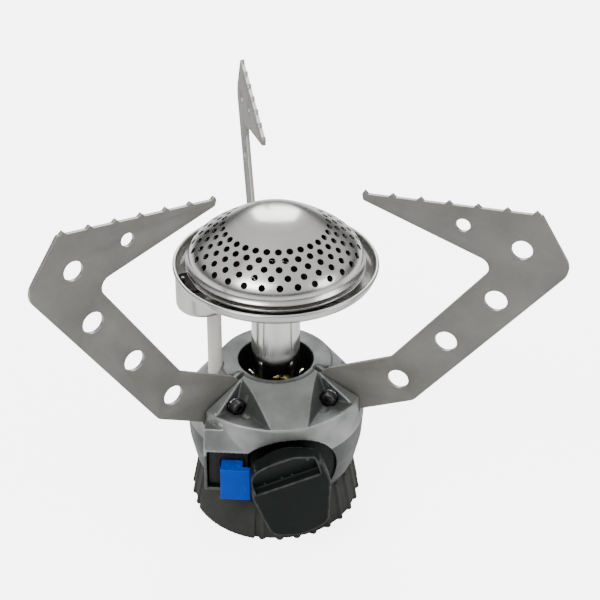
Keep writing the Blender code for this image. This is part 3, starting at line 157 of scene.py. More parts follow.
lamp("key", (-0.55, -0.55, 0.95), 0.55, 9.0)
lamp("fill", (0.85, -0.45, 0.55), 0.50, 3.5)
lamp("back", (0.15, 0.95, 0.75), 0.60, 6.0)

floor_mesh = bpy.data.meshes.new("floor")
floor_form = bmesh.new()
bmesh.ops.create_grid(floor_form, x_segments=1, y_segments=1, size=FLOOR_SIZE)
floor_form.to_mesh(floor_mesh)
floor_form.free()
floor = bpy.data.objects.new("floor", floor_mesh)
floor.location.z = FLOOR - FLOOR_GAP
bpy.context.scene.collection.objects.link(floor)
paper = bpy.data.materials.new("paper")
paper.use_nodes = True
sheen = paper.node_tree.nodes["Principled BSDF"]
sheen.inputs["Base Color"].default_value = (0.93, 0.93, 0.93, 1)
sheen.inputs["Roughness"].default_value = 0.9
sheen.inputs["Emission Color"].default_value = (1, 1, 1, 1)
# the paper is bright to look at, but lights the burner from below only a little
seen = paper.node_tree.nodes.new("ShaderNodeLightPath")
glow = paper.node_tree.nodes.new("ShaderNodeMapRange")
glow.inputs["To Min"].default_value = FLOOR_GLOW_ON_PARTS
glow.inputs["To Max"].default_value = FLOOR_GLOW_SEEN
paper.node_tree.links.new(seen.outputs["Is Camera Ray"], glow.inputs["Value"])
paper.node_tree.links.new(glow.outputs["Result"], sheen.inputs["Emission Strength"])
floor_mesh.materials.append(paper)
print("floor at", round(floor.location.z / MM, 2), "mm, three lights")

# %% [markdown]
# Surface effects that several finishes share are node groups, built once: a fine grain for castings and
# moulded plastic, edge wear that brightens the ridges where a part is handled together with a mask of the
# hollows for painted shade, and turning lines for spun sheet metal.
# A group only hands out masks and normals. The shader itself stays in each material.

# %% Shared surface effects


def new_group(name, takes, gives):
    """An empty shader node group with named inputs, their starting values, and outputs."""
    group = bpy.data.node_groups.new(name, "ShaderNodeTree")
    for title, kind, value in takes:
        socket = group.interface.new_socket(title, in_out="INPUT", socket_type=kind)
        if value is not None:
            socket.default_value = value
    for title, kind in gives:
        group.interface.new_socket(title, in_out="OUTPUT", socket_type=kind)
    entry = group.nodes.new("NodeGroupInput")
    leave = group.nodes.new("NodeGroupOutput")
    return group, entry, leave


def math_node(tree, operation, first, second=None, third=None, clamp=False):
    """A Math node whose inputs are sockets or plain numbers."""
    node = tree.nodes.new("ShaderNodeMath")
    node.operation = operation
    node.use_clamp = clamp
    for slot, value in zip(node.inputs, (first, second, third)):
        if value is None:
            continue
        if isinstance(value, bpy.types.NodeSocket):
            tree.links.new(value, slot)
        else:
            slot.default_value = value
    return node.outputs[0]


def noise(tree, scale, detail, vector=None, roughness=0.5):
    """A noise texture in object space, which is metres here, so its scale is in waves per metre."""
    node = tree.nodes.new("ShaderNodeTexNoise")
    node.inputs["Detail"].default_value = detail
    node.inputs["Roughness"].default_value = roughness
    if isinstance(scale, bpy.types.NodeSocket):
        tree.links.new(scale, node.inputs["Scale"])
    else:
        node.inputs["Scale"].default_value = scale
    if vector is None:
        vector = tree.nodes.new("ShaderNodeTexCoord").outputs["Object"]
    tree.links.new(vector, node.inputs["Vector"])
    return node.outputs["Fac"]


def build_grain():
    """Grain: a patchy tone for colour and roughness, and a fine height for a Bump node."""
    takes = [("Grain size", "NodeSocketFloat", 2600.0), ("Patch size", "NodeSocketFloat", 60.0)]
    gives = [("Tone", "NodeSocketFloat"), ("Height", "NodeSocketFloat"), ("Speckle", "NodeSocketFloat")]
    group, entry, leave = new_group("grain", takes, gives)
    fine = noise(group, entry.outputs["Grain size"], 3.0)
    patch = noise(group, entry.outputs["Patch size"], 4.0)
    speckle = math_node(group, "MULTIPLY_ADD", fine, 3.0, -1.0, clamp=True)
    group.links.new(patch, leave.inputs["Tone"])
    group.links.new(fine, leave.inputs["Height"])
    group.links.new(speckle, leave.inputs["Speckle"])
    return group


def build_edge_wear_and_hollow_shade():
    """Edge wear and painted shade: a mask of the ridges, broken up by noise so that it is never an even line,
    and a mask of the hollows for painted shade.
    """
    takes = [("Reach", "NodeSocketFloat", 0.03), ("Amount", "NodeSocketFloat", 1.0)]
    gives = [("Mask", "NodeSocketFloat"), ("Painted hollow shade", "NodeSocketFloat")]
    group, entry, leave = new_group("edge_wear_and_hollow_shade", takes, gives)
    shape = group.nodes.new("ShaderNodeNewGeometry").outputs["Pointiness"]
    above = math_node(group, "SUBTRACT", shape, 0.505)
    ridge = math_node(group, "DIVIDE", above, entry.outputs["Reach"], clamp=True)
    patchy = math_node(group, "MULTIPLY_ADD", noise(group, 420.0, 3.0), 1.6, -0.15, clamp=True)
    worn = math_node(group, "MULTIPLY", ridge, patchy)
    mask = math_node(group, "MULTIPLY", worn, entry.outputs["Amount"], clamp=True)
    # painted shade: the hollow mask marks the concave places, where shade falls
    below = math_node(group, "SUBTRACT", 0.495, shape)
    hollow = math_node(group, "DIVIDE", below, entry.outputs["Reach"], clamp=True)
    group.links.new(mask, leave.inputs["Mask"])
    group.links.new(hollow, leave.inputs["Painted hollow shade"])
    return group


def build_spun_lines():
    """Turning lines: heights and tones that change with radius and height only, as a lathe leaves them."""
    takes = [("Line pitch", "NodeSocketFloat", 9000.0)]
    gives = [("Height", "NodeSocketFloat"), ("Band", "NodeSocketFloat")]
    group, entry, leave = new_group("spun_lines", takes, gives)
    place = group.nodes.new("ShaderNodeSeparateXYZ")
    group.links.new(group.nodes.new("ShaderNodeTexCoord").outputs["Object"], place.inputs[0])
    squared = math_node(group, "MULTIPLY", place.outputs["X"], place.outputs["X"])
    both = math_node(group, "MULTIPLY_ADD", place.outputs["Y"], place.outputs["Y"], squared)
    radius = math_node(group, "SQRT", both)
    ring = group.nodes.new("ShaderNodeCombineXYZ")
    group.links.new(radius, ring.inputs["X"])
    group.links.new(place.outputs["Z"], ring.inputs["Y"])
    group.links.new(noise(group, entry.outputs["Line pitch"], 2.0, ring.outputs[0]), leave.inputs["Height"])
    group.links.new(noise(group, 500.0, 2.0, ring.outputs[0]), leave.inputs["Band"])
    return group


GRAIN, EDGE_WEAR_AND_HOLLOW_SHADE, SPUN_LINES = build_grain(), build_edge_wear_and_hollow_shade(), build_spun_lines()
print("shared effects:", [group.name for group in (GRAIN, EDGE_WEAR_AND_HOLLOW_SHADE, SPUN_LINES)])

# %% [markdown]
# A finish starts from one Principled shader. Its two tones are mixed by a mask that changes over the surface,
# and the same masks drive roughness and a small bump. What doesn't change is set on the socket itself.

# %% How a finish is put together


class Finish:
    """A material and short ways to wire it. Constant values go straight on the shader's sockets."""

    def __init__(self, name, **constants):
        self.material = bpy.data.materials.new(name)
        self.material.use_nodes = True
        self.tree = self.material.node_tree
        self.shader = self.tree.nodes["Principled BSDF"]
        for title, value in constants.items():
            self.shader.inputs[title.replace("_", " ")].default_value = value

    def group(self, tree, **values):
        node = self.tree.nodes.new("ShaderNodeGroup")
        node.node_tree = tree
        for title, value in values.items():
            node.inputs[title.replace("_", " ")].default_value = value
        return node.outputs

    def mix(self, mask, first, second):
        """A colour between two, by a mask. Each is a socket or three numbers."""
        node = self.tree.nodes.new("ShaderNodeMix")
        node.data_type = "RGBA"
        self.tree.links.new(mask, node.inputs["Factor"])
        for slot, colour in ((node.inputs[6], first), (node.inputs[7], second)):
            if isinstance(colour, bpy.types.NodeSocket):
                self.tree.links.new(colour, slot)
            else:
                slot.default_value = (*colour, 1)
        return node.outputs[2]

    def span(self, value, low, high, to_low, to_high):
        """A value carried from one range to another, and held there."""
        node = self.tree.nodes.new("ShaderNodeMapRange")
        self.tree.links.new(value, node.inputs["Value"])
        limits = {"From Min": low, "From Max": high, "To Min": to_low, "To Max": to_high}
        for title, number in limits.items():
            node.inputs[title].default_value = number
        return node.outputs["Result"]

    def feed(self, title, value):
        self.tree.links.new(value, self.shader.inputs[title])

    def bump(self, height, distance, strength):
        """A bump of a real depth, in metres."""
        node = self.tree.nodes.new("ShaderNodeBump")
        node.inputs["Distance"].default_value = distance
        node.inputs["Strength"].default_value = strength
        self.tree.links.new(height, node.inputs["Height"])
        self.feed("Normal", node.outputs["Normal"])


# %% [markdown]
# The metal finishes. The casting is tumbled and satin, with brighter ridges, a darker floor in its hollows
# that is painted shade, and more painted shade wherever the housing's points ask for it. The supports are
# dull coated plate with bright sheared edges. The burner head is polished stainless sheet, with painted shade
# inside it that makes it near black there.

# %% Metal finishes
# painted shade: the near-black tone of the burner's inside, under the dome
INSIDE_SHADE = (0.012, 0.012, 0.011)


def cast_metal():
    """Grey tumbled casting."""
    finish = Finish("cast_metal", Metallic=0.75, Roughness=0.45)
    grain = finish.group(GRAIN, Grain_size=2300.0, Patch_size=70.0)
    wear = finish.group(EDGE_WEAR_AND_HOLLOW_SHADE, Reach=0.05, Amount=0.9)
    patches = finish.span(grain["Tone"], 0.35, 0.7, 0, 1)
    tone = finish.mix(patches, (0.185, 0.195, 0.188), (0.335, 0.345, 0.335))
    # painted shade: the colour is darker in the hollows, by the group's hollow mask
    hollow = finish.mix(finish.span(wear["Painted hollow shade"], 0, 1, 0, 0.55), tone, (0.10, 0.105, 0.10))
    worn = finish.mix(wear["Mask"], hollow, (0.55, 0.56, 0.55))
    # painted shade: the housing's shade attribute darkens the colour towards near black in its pockets, bore,
    # facets, top ring and skirt
    shade = finish.tree.nodes.new("ShaderNodeAttribute")
    shade.attribute_name = "shade"
    finish.feed("Base Color", finish.mix(shade.outputs["Fac"], worn, (0.010, 0.013, 0.012)))
    finish.feed("Roughness", finish.span(grain["Tone"], 0.3, 0.7, 0.52, 0.38))
    finish.bump(grain["Height"], 0.07 * MM, 0.7)
    return finish.material


def coated_plate():
    """The pan supports' broad faces: warm grey, nearly matt."""
    finish = Finish("coated_plate", Metallic=0.6, Roughness=0.55)
    grain = finish.group(GRAIN, Grain_size=3200.0, Patch_size=45.0)
    patches = finish.span(grain["Tone"], 0.3, 0.7, 0, 1)
    tone = finish.mix(patches, (0.165, 0.163, 0.148), (0.225, 0.222, 0.205))
    finish.feed("Base Color", tone)
    finish.feed("Roughness", finish.span(grain["Speckle"], 0, 1, 0.48, 0.62))
    finish.bump(grain["Height"], 0.03 * MM, 0.5)
    return finish.material


def sheared_edge():
    """The supports' cut edges and the walls of their holes."""
    finish = Finish("sheared_edge", Metallic=0.85, Roughness=0.42)
    grain = finish.group(GRAIN, Grain_size=5200.0, Patch_size=300.0)
    finish.feed("Base Color", finish.mix(grain["Tone"], (0.30, 0.30, 0.28), (0.48, 0.47, 0.44)))
    finish.bump(grain["Height"], 0.04 * MM, 0.6)
    return finish.material


def polished_sheet(name, tone, roughness, lines):
    """Bright stainless sheet with turning lines round its axis."""
    finish = Finish(name, Metallic=1.0, Roughness=roughness)
    spun = finish.group(SPUN_LINES, Line_pitch=7000.0)
    grain = finish.group(GRAIN, Grain_size=900.0, Patch_size=55.0)
    darker = tuple(0.86 * part for part in tone)
    finish.feed("Base Color", finish.mix(spun["Band"], darker, tone))
    rough = finish.span(grain["Tone"], 0.3, 0.7, roughness - 0.04, roughness + 0.06)
    finish.feed("Roughness", rough)
    finish.bump(spun["Height"], 0.012 * MM, lines)
    return finish.material


def plain_metal(name, dark, light, roughness):
    """Turned brass or steel, with a mottled tone."""
    finish = Finish(name, Metallic=1.0, Roughness=roughness)
    grain = finish.group(GRAIN, Grain_size=1500.0, Patch_size=220.0)
    wear = finish.group(EDGE_WEAR_AND_HOLLOW_SHADE, Reach=0.08, Amount=0.5)
    tone = finish.mix(finish.span(grain["Tone"], 0.3, 0.7, 0, 1), dark, light)
    brighter = tuple(min(1.0, 1.5 * part) for part in light)
    finish.feed("Base Color", finish.mix(wear["Mask"], tone, brighter))
    finish.feed("Roughness", finish.span(grain["Speckle"], 0, 1, roughness - 0.06, roughness + 0.08))
    finish.bump(grain["Height"], 0.01 * MM, 0.4)
    return finish.material


CAST = cast_metal()
COATED, SHEARED = coated_plate(), sheared_edge()
# the burner's inside finish is near black: painted shade
INSIDE = plain_metal("burner_inside", INSIDE_SHADE, tuple(2 * part for part in INSIDE_SHADE), 0.6)
DOME_SHEET = polished_sheet("dome_sheet", (0.72, 0.71, 0.69), 0.24, 0.5)
PAN_SHEET = polished_sheet("pan_sheet", (0.62, 0.62, 0.60), 0.30, 0.5)
TUBE_SHEET = polished_sheet("tube_sheet", (0.74, 0.73, 0.71), 0.14, 0.25)
DARK_STEEL = plain_metal("dark_steel", (0.07, 0.07, 0.07), (0.13, 0.13, 0.13), 0.38)
WIRE_STEEL = plain_metal("wire_steel", (0.10, 0.10, 0.095), (0.20, 0.20, 0.19), 0.45)
BRIGHT_STEEL = plain_metal("bright_steel", (0.45, 0.45, 0.44), (0.62, 0.62, 0.60), 0.26)
BRASS = plain_metal("brass", (0.60, 0.41, 0.15), (0.74, 0.53, 0.22), 0.28)
print("metal finishes made")

# %% [markdown]
# The plastic pieces are nearly black or one strong colour, so their shape shows only where light grazes them.
# Each has two close tones, a fine grain, and ridges that are a little paler where fingers polish them.

# %% Plastic, rubber and ceramic finishes


def moulded(name, dark, light, roughness, grain_depth, wear_tone, reach=0.06, amount=0.6, shine=0.5):
    """Moulded plastic or rubber: two close tones, a fine grain and slightly polished ridges."""
    finish = Finish(name, Metallic=0.0, Roughness=roughness, Specular_IOR_Level=shine)
    grain = finish.group(GRAIN, Grain_size=3600.0, Patch_size=90.0)
    wear = finish.group(EDGE_WEAR_AND_HOLLOW_SHADE, Reach=reach, Amount=amount)
    tone = finish.mix(finish.span(grain["Tone"], 0.3, 0.7, 0, 1), dark, light)
    finish.feed("Base Color", finish.mix(wear["Mask"], tone, wear_tone))
    finish.feed("Roughness", finish.span(grain["Speckle"], 0, 1, roughness - 0.05, roughness + 0.09))
    finish.bump(grain["Height"], grain_depth, 0.5)
    return finish.material


GRIP = moulded(
    "grip_rubber",
    (0.024, 0.024, 0.022),
    (0.038, 0.038, 0.035),
    0.66,
    0.06 * MM,
    (0.09, 0.09, 0.085),
    shine=0.25,
)
KNOB_BLACK = moulded(
    "knob_black",
    (0.003, 0.005, 0.0045),
    (0.005, 0.008, 0.007),
    0.46,
    0.02 * MM,
    (0.085, 0.095, 0.090),
    reach=0.03,
    amount=1.0,
    shine=0.14,
)
FRAME_BLACK = moulded(
    "frame_black",
    (0.003, 0.003, 0.003),
    (0.006, 0.006, 0.006),
    0.5,
    0.02 * MM,
    (0.03, 0.03, 0.03),
    shine=0.2,
)
BUTTON_BLUE = moulded(
    "button_blue",
    (0.0, 0.045, 0.40),
    (0.0, 0.055, 0.47),
    0.45,
    0.01 * MM,
    (0.0, 0.14, 0.70),
    shine=0.12,
)
RUBBER = moulded(
    "black_rubber",
    (0.014, 0.014, 0.014),
    (0.022, 0.022, 0.022),
    0.7,
    0.03 * MM,
    (0.04, 0.04, 0.04),
)
CERAMIC = moulded(
    "glazed_ceramic",
    (0.70, 0.68, 0.61),
    (0.80, 0.78, 0.72),
    0.28,
    0.01 * MM,
    (0.86, 0.85, 0.80),
)
print("plastic and ceramic finishes made")

# %% [markdown]
# Most pieces are made with the same few moves: a profile turned round an axis, a cylinder between two
# points, a flat outline given a thickness, and Boolean cuts and joins. These helpers do them finely. Each
# finished piece then takes the place of its plain one, on the same body.

# %% Shape helpers
MERGE = 0.002 * MM
record = frame["record"]
body_of_node = {node: body for body, nodes in record["behaviour"]["bodies"].items() for node in nodes}
workshop = bpy.data.collections.new("workshop")
bpy.context.scene.collection.children.link(workshop)


def add(name, mesh, place=None):
    obj = bpy.data.objects.new(name, mesh)
    workshop.objects.link(obj)
    if place is not None:
        obj.matrix_world = place
    return obj


def from_form(name, form, place=None):
    mesh = bpy.data.meshes.new(name)
    form.to_mesh(mesh)
    form.free()
    return add(name, mesh, place)


def applied(obj):
    """The object with its modifiers and its place put into the mesh."""
    bpy.context.view_layer.update()
    graph = bpy.context.evaluated_depsgraph_get()
    mesh = bpy.data.meshes.new_from_object(obj.evaluated_get(graph))
    mesh.transform(obj.matrix_world)
    obj.modifiers.clear()
    obj.data = mesh
    obj.matrix_world = Matrix.Identity(4)
    return obj


def rounded(corners, steps=6):
    """An outline from (x, y, radius) corners, with an arc at each one that has a radius."""
    outline = []
    count = len(corners)
    for i, (x, y, radius) in enumerate(corners):
        here = Vector((x, y))
        back = (Vector(corners[i - 1][:2]) - here).normalized()
        ahead = (Vector(corners[(i + 1) % count][:2]) - here).normalized()
        half = back.angle(ahead) / 2
        if radius == 0:
            outline.append((x, y))
            continue
        middle = here + (back + ahead).normalized() * radius / math.sin(half)
        first = here + back * radius / math.tan(half) - middle
        sweep = first.angle_signed(here + ahead * radius / math.tan(half) - middle)
        for k in range(steps + 1):
            spoke = first.copy()
            spoke.rotate(Matrix.Rotation(-sweep * k / steps, 2))
            outline.append(tuple(middle + spoke))
    return outline


def lathe(name, corners, steps=128, place=None, arc=5):
    """A closed profile of (radius, height, fillet) corners turned round Z. It may end on the axis."""
    flat = [corner if len(corner) == 3 else (*corner, 0) for corner in corners]
    on_axis = flat[0][0] == 0 and flat[-1][0] == 0
    outline = rounded(flat, arc)
    form = bmesh.new()
    verts = [form.verts.new((r, 0, z)) for r, z in outline]
    ends = len(verts) - 1 if on_axis else len(verts)
    edges = [form.edges.new((verts[i], verts[(i + 1) % len(verts)])) for i in range(ends)]
    bmesh.ops.spin(
        form,
        geom=verts + edges,
        cent=(0, 0, 0),
        axis=(0, 0, 1),
        angle=2 * math.pi,
        steps=steps,
        use_merge=True,
    )
    bmesh.ops.remove_doubles(form, verts=form.verts, dist=MERGE)
    bmesh.ops.recalc_face_normals(form, faces=form.faces)
    return from_form(name, form, place)


def rod(name, radius, start, end, segments=48, end_radius=None, place=None):
    """A cylinder or cone from one point to another."""
    start, end = Vector(start), Vector(end)
    turn = Vector((0, 0, 1)).rotation_difference(end - start).to_matrix().to_4x4()
    form = bmesh.new()
    bmesh.ops.create_cone(
        form,
        cap_ends=True,
        segments=segments,
        radius1=radius,
        radius2=radius if end_radius is None else end_radius,
        depth=(end - start).length,
        matrix=Matrix.Translation((start + end) / 2) @ turn,
    )
    return from_form(name, form, place)


def block(name, low, high, place=None):
    low, high = Vector(low), Vector(high)
    size = Matrix.Diagonal((*(high - low), 1.0))
    form = bmesh.new()
    bmesh.ops.create_cube(form, size=1.0, matrix=Matrix.Translation((low + high) / 2) @ size)
    return from_form(name, form, place)


def slab(name, outlines, low, high, place=None, bevel=0.0):
    """Flat outlines in X and Y, the first the edge and the others holes in it, between two heights."""
    curve = bpy.data.curves.new(name, "CURVE")
    curve.dimensions = "2D"
    curve.fill_mode = "BOTH"
    curve.extrude = (high - low) / 2 - bevel
    curve.bevel_depth = bevel
    curve.bevel_resolution = 1
    curve.offset = -bevel
    for outline in outlines:
        line = curve.splines.new("POLY")
        line.points.add(len(outline) - 1)
        for point, (x, y) in zip(line.points, outline):
            point.co = (x, y, 0, 1)
        line.use_cyclic_u = True
    guide = bpy.data.objects.new(name, curve)
    workshop.objects.link(guide)
    bpy.context.view_layer.update()
    mesh = bpy.data.meshes.new_from_object(guide.evaluated_get(bpy.context.evaluated_depsgraph_get()))
    bpy.data.objects.remove(guide)
    form = bmesh.new()
    form.from_mesh(mesh)
    bmesh.ops.remove_doubles(form, verts=form.verts, dist=MERGE)
    bmesh.ops.recalc_face_normals(form, faces=form.faces)
    lift = Matrix.Translation((0, 0, (low + high) / 2))
    return from_form(name, form, (place or Matrix()) @ lift)


def combine(obj, others, operation):
    """Boolean cuts or joins. What is cut with or joined on is used up."""
    bunch = bpy.data.collections.new(obj.name + "_tools")
    bpy.context.scene.collection.children.link(bunch)
    for other in others:
        workshop.objects.unlink(other)
        bunch.objects.link(other)
    step = obj.modifiers.new("combine", "BOOLEAN")
    step.solver = "MANIFOLD"
    step.operation = operation
    step.operand_type = "COLLECTION"
    step.collection = bunch
    applied(obj)
    for other in others:
        bpy.data.objects.remove(other)
    bpy.data.collections.remove(bunch)
    return obj


def cut(obj, *others):
    return combine(obj, others, "DIFFERENCE")


def join(obj, *others):
    return combine(obj, others, "UNION")


def bevel(obj, width, segments):
    edge = obj.modifiers.new("round", "BEVEL")
    edge.width = width
    edge.segments = segments
    edge.limit_method = "ANGLE"
    edge.angle_limit = math.radians(35.0)
    edge.harden_normals = False
    return applied(obj)


def cast_surface(obj, voxel, smoothing, keep):
    """One skin over everything, with the soft edges that a mould leaves, thinned to a share of its faces."""
    skin = obj.modifiers.new("skin", "REMESH")
    skin.mode = "VOXEL"
    skin.voxel_size = voxel
    ease = obj.modifiers.new("ease", "SMOOTH")
    ease.factor = 0.5
    ease.iterations = smoothing
    thin = obj.modifiers.new("thin", "DECIMATE")
    thin.ratio = keep
    applied(obj)
    obj.data.shade_smooth()
    return obj


STAND = Matrix.Rotation(math.pi / 2, 4, "X")  # stands a flat outline up, so that its Y becomes Z
OUTWARD = Matrix.Rotation(math.pi / 2, 4, "Z") @ STAND  # and turns its face to look out


def radial(azimuth):
    """X points out along the azimuth, and Y towards growing azimuth."""
    return Matrix.Rotation(math.radians(azimuth), 4, "Z")


def polar(distance, azimuth, height):
    return radial(azimuth) @ Vector((distance, 0, height))


def stands_for(obj, node, *materials, sharp=35.0):
    """Gives a finished piece its materials and puts it in a node's place."""
    applied(obj)
    if len(obj.data.materials) == 0 or obj.data.materials[0] is None:
        obj.data.materials.clear()
        for material in materials:
            obj.data.materials.append(material)
    if sharp is not None:
        obj.data.shade_smooth()
        obj.data.set_sharp_from_angle(angle=math.radians(sharp))
    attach(obj, body_of_node[node])
    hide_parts(node)
    print(f"{obj.name}: {len(obj.data.polygons)} faces")
    return obj


# %% [markdown]
# The grip collar is moulded plastic with thirty ribs for the hand that screws or clips the burner on. One
# stretch at the front left is left smooth. The ribs are tapered rods joined to the turned body, and then one
# skin is laid over all of it, so that every rib runs into the body with the small fillet that a mould gives.

# %% Grip collar
COLLAR_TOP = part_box("base_collar")[1].z
COLLAR_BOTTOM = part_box("base_collar")[0].z
COLLAR_TOP_RADIUS, COLLAR_FOOT_RADIUS = 29.6 * MM, 32.6 * MM
COLLAR_WALL, COLLAR_ROOF = 3.4 * MM, 6.2 * MM
RIB_COUNT, RIB_RADIUS, RIB_HEIGHT = 30, 1.5 * MM, 1.3 * MM
SMOOTH_FROM, SMOOTH_TO = 197.0, 247.0
SOCKET_HOLE = 13.8 * MM
SCREW_AZIMUTHS, SCREW_CIRCLE, SCREW_HOLE = (50.0, 155.0, 300.0), 24.7 * MM, 1.8 * MM
REACH = 80 * MM  # past the whole body


def sector(name, start, end, radius, low, high):
    """A wedge about Z between two azimuths."""
    arc = [polar(radius, start + (end - start) * k / 24, 0).to_2d() for k in range(25)]
    return slab(name, [[(0, 0)] + [tuple(point) for point in arc]], low, high)


def make_collar():
    below = COLLAR_BOTTOM - 1 * MM
    roof = COLLAR_TOP - COLLAR_ROOF
    inside = COLLAR_FOOT_RADIUS - COLLAR_WALL
    collar = lathe(
        "grip_collar",
        [
            (COLLAR_TOP_RADIUS - 0.2 * MM, COLLAR_TOP, 0.5 * MM),
            (COLLAR_TOP_RADIUS + 0.8 * MM, COLLAR_TOP - 3.5 * MM, 3 * MM),
            (COLLAR_FOOT_RADIUS - 0.4 * MM, COLLAR_BOTTOM + 4.5 * MM, 6 * MM),
            (COLLAR_FOOT_RADIUS, below),
            (inside, below),
            (inside, roof, 1 * MM),
            (SOCKET_HOLE, roof),
            (SOCKET_HOLE, COLLAR_TOP),
        ],
        steps=180,
    )
    panel = lathe(
        "panel",
        [
            (COLLAR_TOP_RADIUS - 2 * MM, COLLAR_TOP - 0.9 * MM),
            (COLLAR_TOP_RADIUS + 0.7 * MM, COLLAR_TOP - 0.9 * MM, 0.5 * MM),
            (COLLAR_FOOT_RADIUS + 0.6 * MM, COLLAR_BOTTOM + 5 * MM, 6 * MM),
            (COLLAR_FOOT_RADIUS + RIB_HEIGHT, below),
            (COLLAR_FOOT_RADIUS - 2 * MM, below),
            (COLLAR_FOOT_RADIUS - 2 * MM, roof + 1 * MM),
            (COLLAR_TOP_RADIUS - 2 * MM, roof + 1 * MM),
        ],
        steps=180,
    )
    wedge = sector("wedge", SMOOTH_FROM, SMOOTH_TO, REACH, 2 * below, COLLAR_TOP + 2 * MM)
    combine(panel, [wedge], "INTERSECT")
    raised = [panel]
    pitch = 360.0 / RIB_COUNT
    foot = COLLAR_FOOT_RADIUS + RIB_HEIGHT - RIB_RADIUS
    for i in range(RIB_COUNT):
        azimuth = pitch * i
        if SMOOTH_FROM < azimuth < SMOOTH_TO:
            continue
        low = polar(foot, azimuth, below)
        high = polar(COLLAR_TOP_RADIUS - 0.1 * MM, azimuth, COLLAR_TOP - 0.7 * MM)
        raised.append(rod(f"rib_{i}", RIB_RADIUS, low, high, 20, 0.8 * RIB_RADIUS))
    join(collar, *raised)
    cut(collar, block("level", (-REACH, -REACH, 3 * below), (REACH, REACH, COLLAR_BOTTOM + 0.05 * MM)))
    holes = []
    for azimuth in SCREW_AZIMUTHS:
        low = polar(SCREW_CIRCLE, azimuth, roof - 2 * MM)
        high = polar(SCREW_CIRCLE, azimuth, COLLAR_TOP + 2 * MM)
        holes.append(rod("hole", SCREW_HOLE, low, high))
    cut(collar, *holes)
    cast_surface(collar, 0.36 * MM, 2, 0.55)
    return stands_for(collar, "base_collar", GRIP, sharp=None)


make_collar()

# %% [markdown]
# The housing is one casting. It starts as a turned body with a bore. A higher hood covers its front, a box
# on the front left takes the igniter, and a round recess makes room for the knob. Three slots take the pan
# supports, and beside the two front ones a three-sided hollow leads down to the screw. Everything is cut and
# joined sharply first, and one fine skin laid over it then softens every edge as a real casting's are.

# %% Sizes of the housing
HOUSING_TOP, HOUSING_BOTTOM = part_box("upper_housing")[1].z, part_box("upper_housing")[0].z
BELT_RADIUS, WAIST_RADIUS = 34.3 * MM, 30.0 * MM
SHOULDER_RADIUS, BORE_RADIUS = 21.4 * MM, 14.2 * MM
BELT_BOTTOM, BELT_TOP = HOUSING_BOTTOM + 22.8 * MM, HOUSING_BOTTOM + 28.6 * MM
HOOD_CREASE, HOOD_INNER_RADIUS = HOUSING_BOTTOM + 36.6 * MM, 15.6 * MM
HOOD_FROM, HOOD_TO = 204.0, 336.0
CAVITY_RADIUS, CAVITY_TOP = 22.0 * MM, HOUSING_BOTTOM + 21.0 * MM
BORE_FLOOR, NECK_RADIUS = CAVITY_TOP + 4.0 * MM, 7.9 * MM
PIVOT_RADIUS, PIVOT_HEIGHT = 24.0 * MM, HOUSING_TOP - 8.1 * MM
SUPPORTS = {"left": 210.0, "right": 330.0, "rear": 90.0}
SCREW_SIDE = {"left": 1, "right": -1, "rear": 1}
HEAD_SEAT_RADIUS, NUT_SEAT_RADIUS, PIN_HOLE_RADIUS = 3.25 * MM, 3.9 * MM, 1.8 * MM
PLATE, SLOT_HALF, CHEEK = 1.5 * MM, 1.1 * MM, 4.3 * MM
KNOB_HEIGHT, RECESS_RADIUS, RECESS_FLOOR = 17.8 * MM, 19.0 * MM, 26.0 * MM
GAP = 0.3 * MM
PIEZO_AZIMUTH, BUTTON_OFFSET = 257.0, -13.9 * MM
BLOCK_FACE, FRAME_FACE, BUTTON_FACE = 33.2 * MM, 31.3 * MM, 37.0 * MM
FRAME_LEFT, FRAME_RIGHT, FRAME_BELOW, FRAME_ABOVE = 9.0 * MM, 5.8 * MM, 4.8 * MM, 11.4 * MM
BLOCK_WALL, UNIT_HALF, UNIT_BACK, UNIT_FRONT = 1.2 * MM, 4.2 * MM, 7.0 * MM, 22.0 * MM
BUTTON_WIDTH, BUTTON_HEIGHT, BUTTON_BACK, BUTTON_PLAY = 8.0 * MM, 10.0 * MM, 26.0 * MM, 0.35 * MM
PAD_WIDTH, PAD_HEIGHT, PAD_THICK, PRESS = 11.1 * MM, 13.9 * MM, 2.5 * MM, 3.0 * MM
BUTTON_TOP = KNOB_HEIGHT + 6.7 * MM
# painted shade: how far each zone of the casting is darkened towards near black, where shade falls
POCKET_SHADE, BORE_SHADE, SKIRT_SHADE, RING_SHADE, FACET_SHADE = 0.97, 0.93, 0.78, 0.6, 0.55
UP = Vector((0, 0, 1))
ELECTRODE = polar(23.3 * MM, 182.0, 0)
CERAMIC_RADIUS = 2.75 * MM
print("housing from", round(HOUSING_BOTTOM / MM, 1), "to", round(HOUSING_TOP / MM, 1), "mm")

# %% Housing


def block_place():
    """X runs right along the igniter block's face, Y inwards and Z up, seen from in front of it."""
    return radial(PIEZO_AZIMUTH + 90)


def piezo_box(name, left, right, back, front, low, high):
    near = (BUTTON_OFFSET + left, -front, low)
    far = (BUTTON_OFFSET + right, -back, high)
    return block(name, near, far, block_place())


def housing_core():
    return lathe(
        "cast_housing",
        [
            (BORE_RADIUS, HOUSING_TOP, 0.5 * MM),
            (SHOULDER_RADIUS, HOUSING_TOP, 0.4 * MM),
            (BELT_RADIUS, BELT_TOP, 0.8 * MM),
            (BELT_RADIUS, BELT_BOTTOM, 0.6 * MM),
            (BELT_RADIUS - 0.6 * MM, BELT_BOTTOM - 9.5 * MM, 12 * MM),
            (BELT_RADIUS - 2.7 * MM, HOUSING_BOTTOM + 3.6 * MM, 6 * MM),
            (WAIST_RADIUS, HOUSING_BOTTOM, 0.3 * MM),
            (CAVITY_RADIUS, HOUSING_BOTTOM),
            (CAVITY_RADIUS, CAVITY_TOP),
            (NECK_RADIUS + GAP, CAVITY_TOP),
            (NECK_RADIUS + GAP, BORE_FLOOR),
            (BORE_RADIUS, BORE_FLOOR),
        ],
        steps=160,
    )


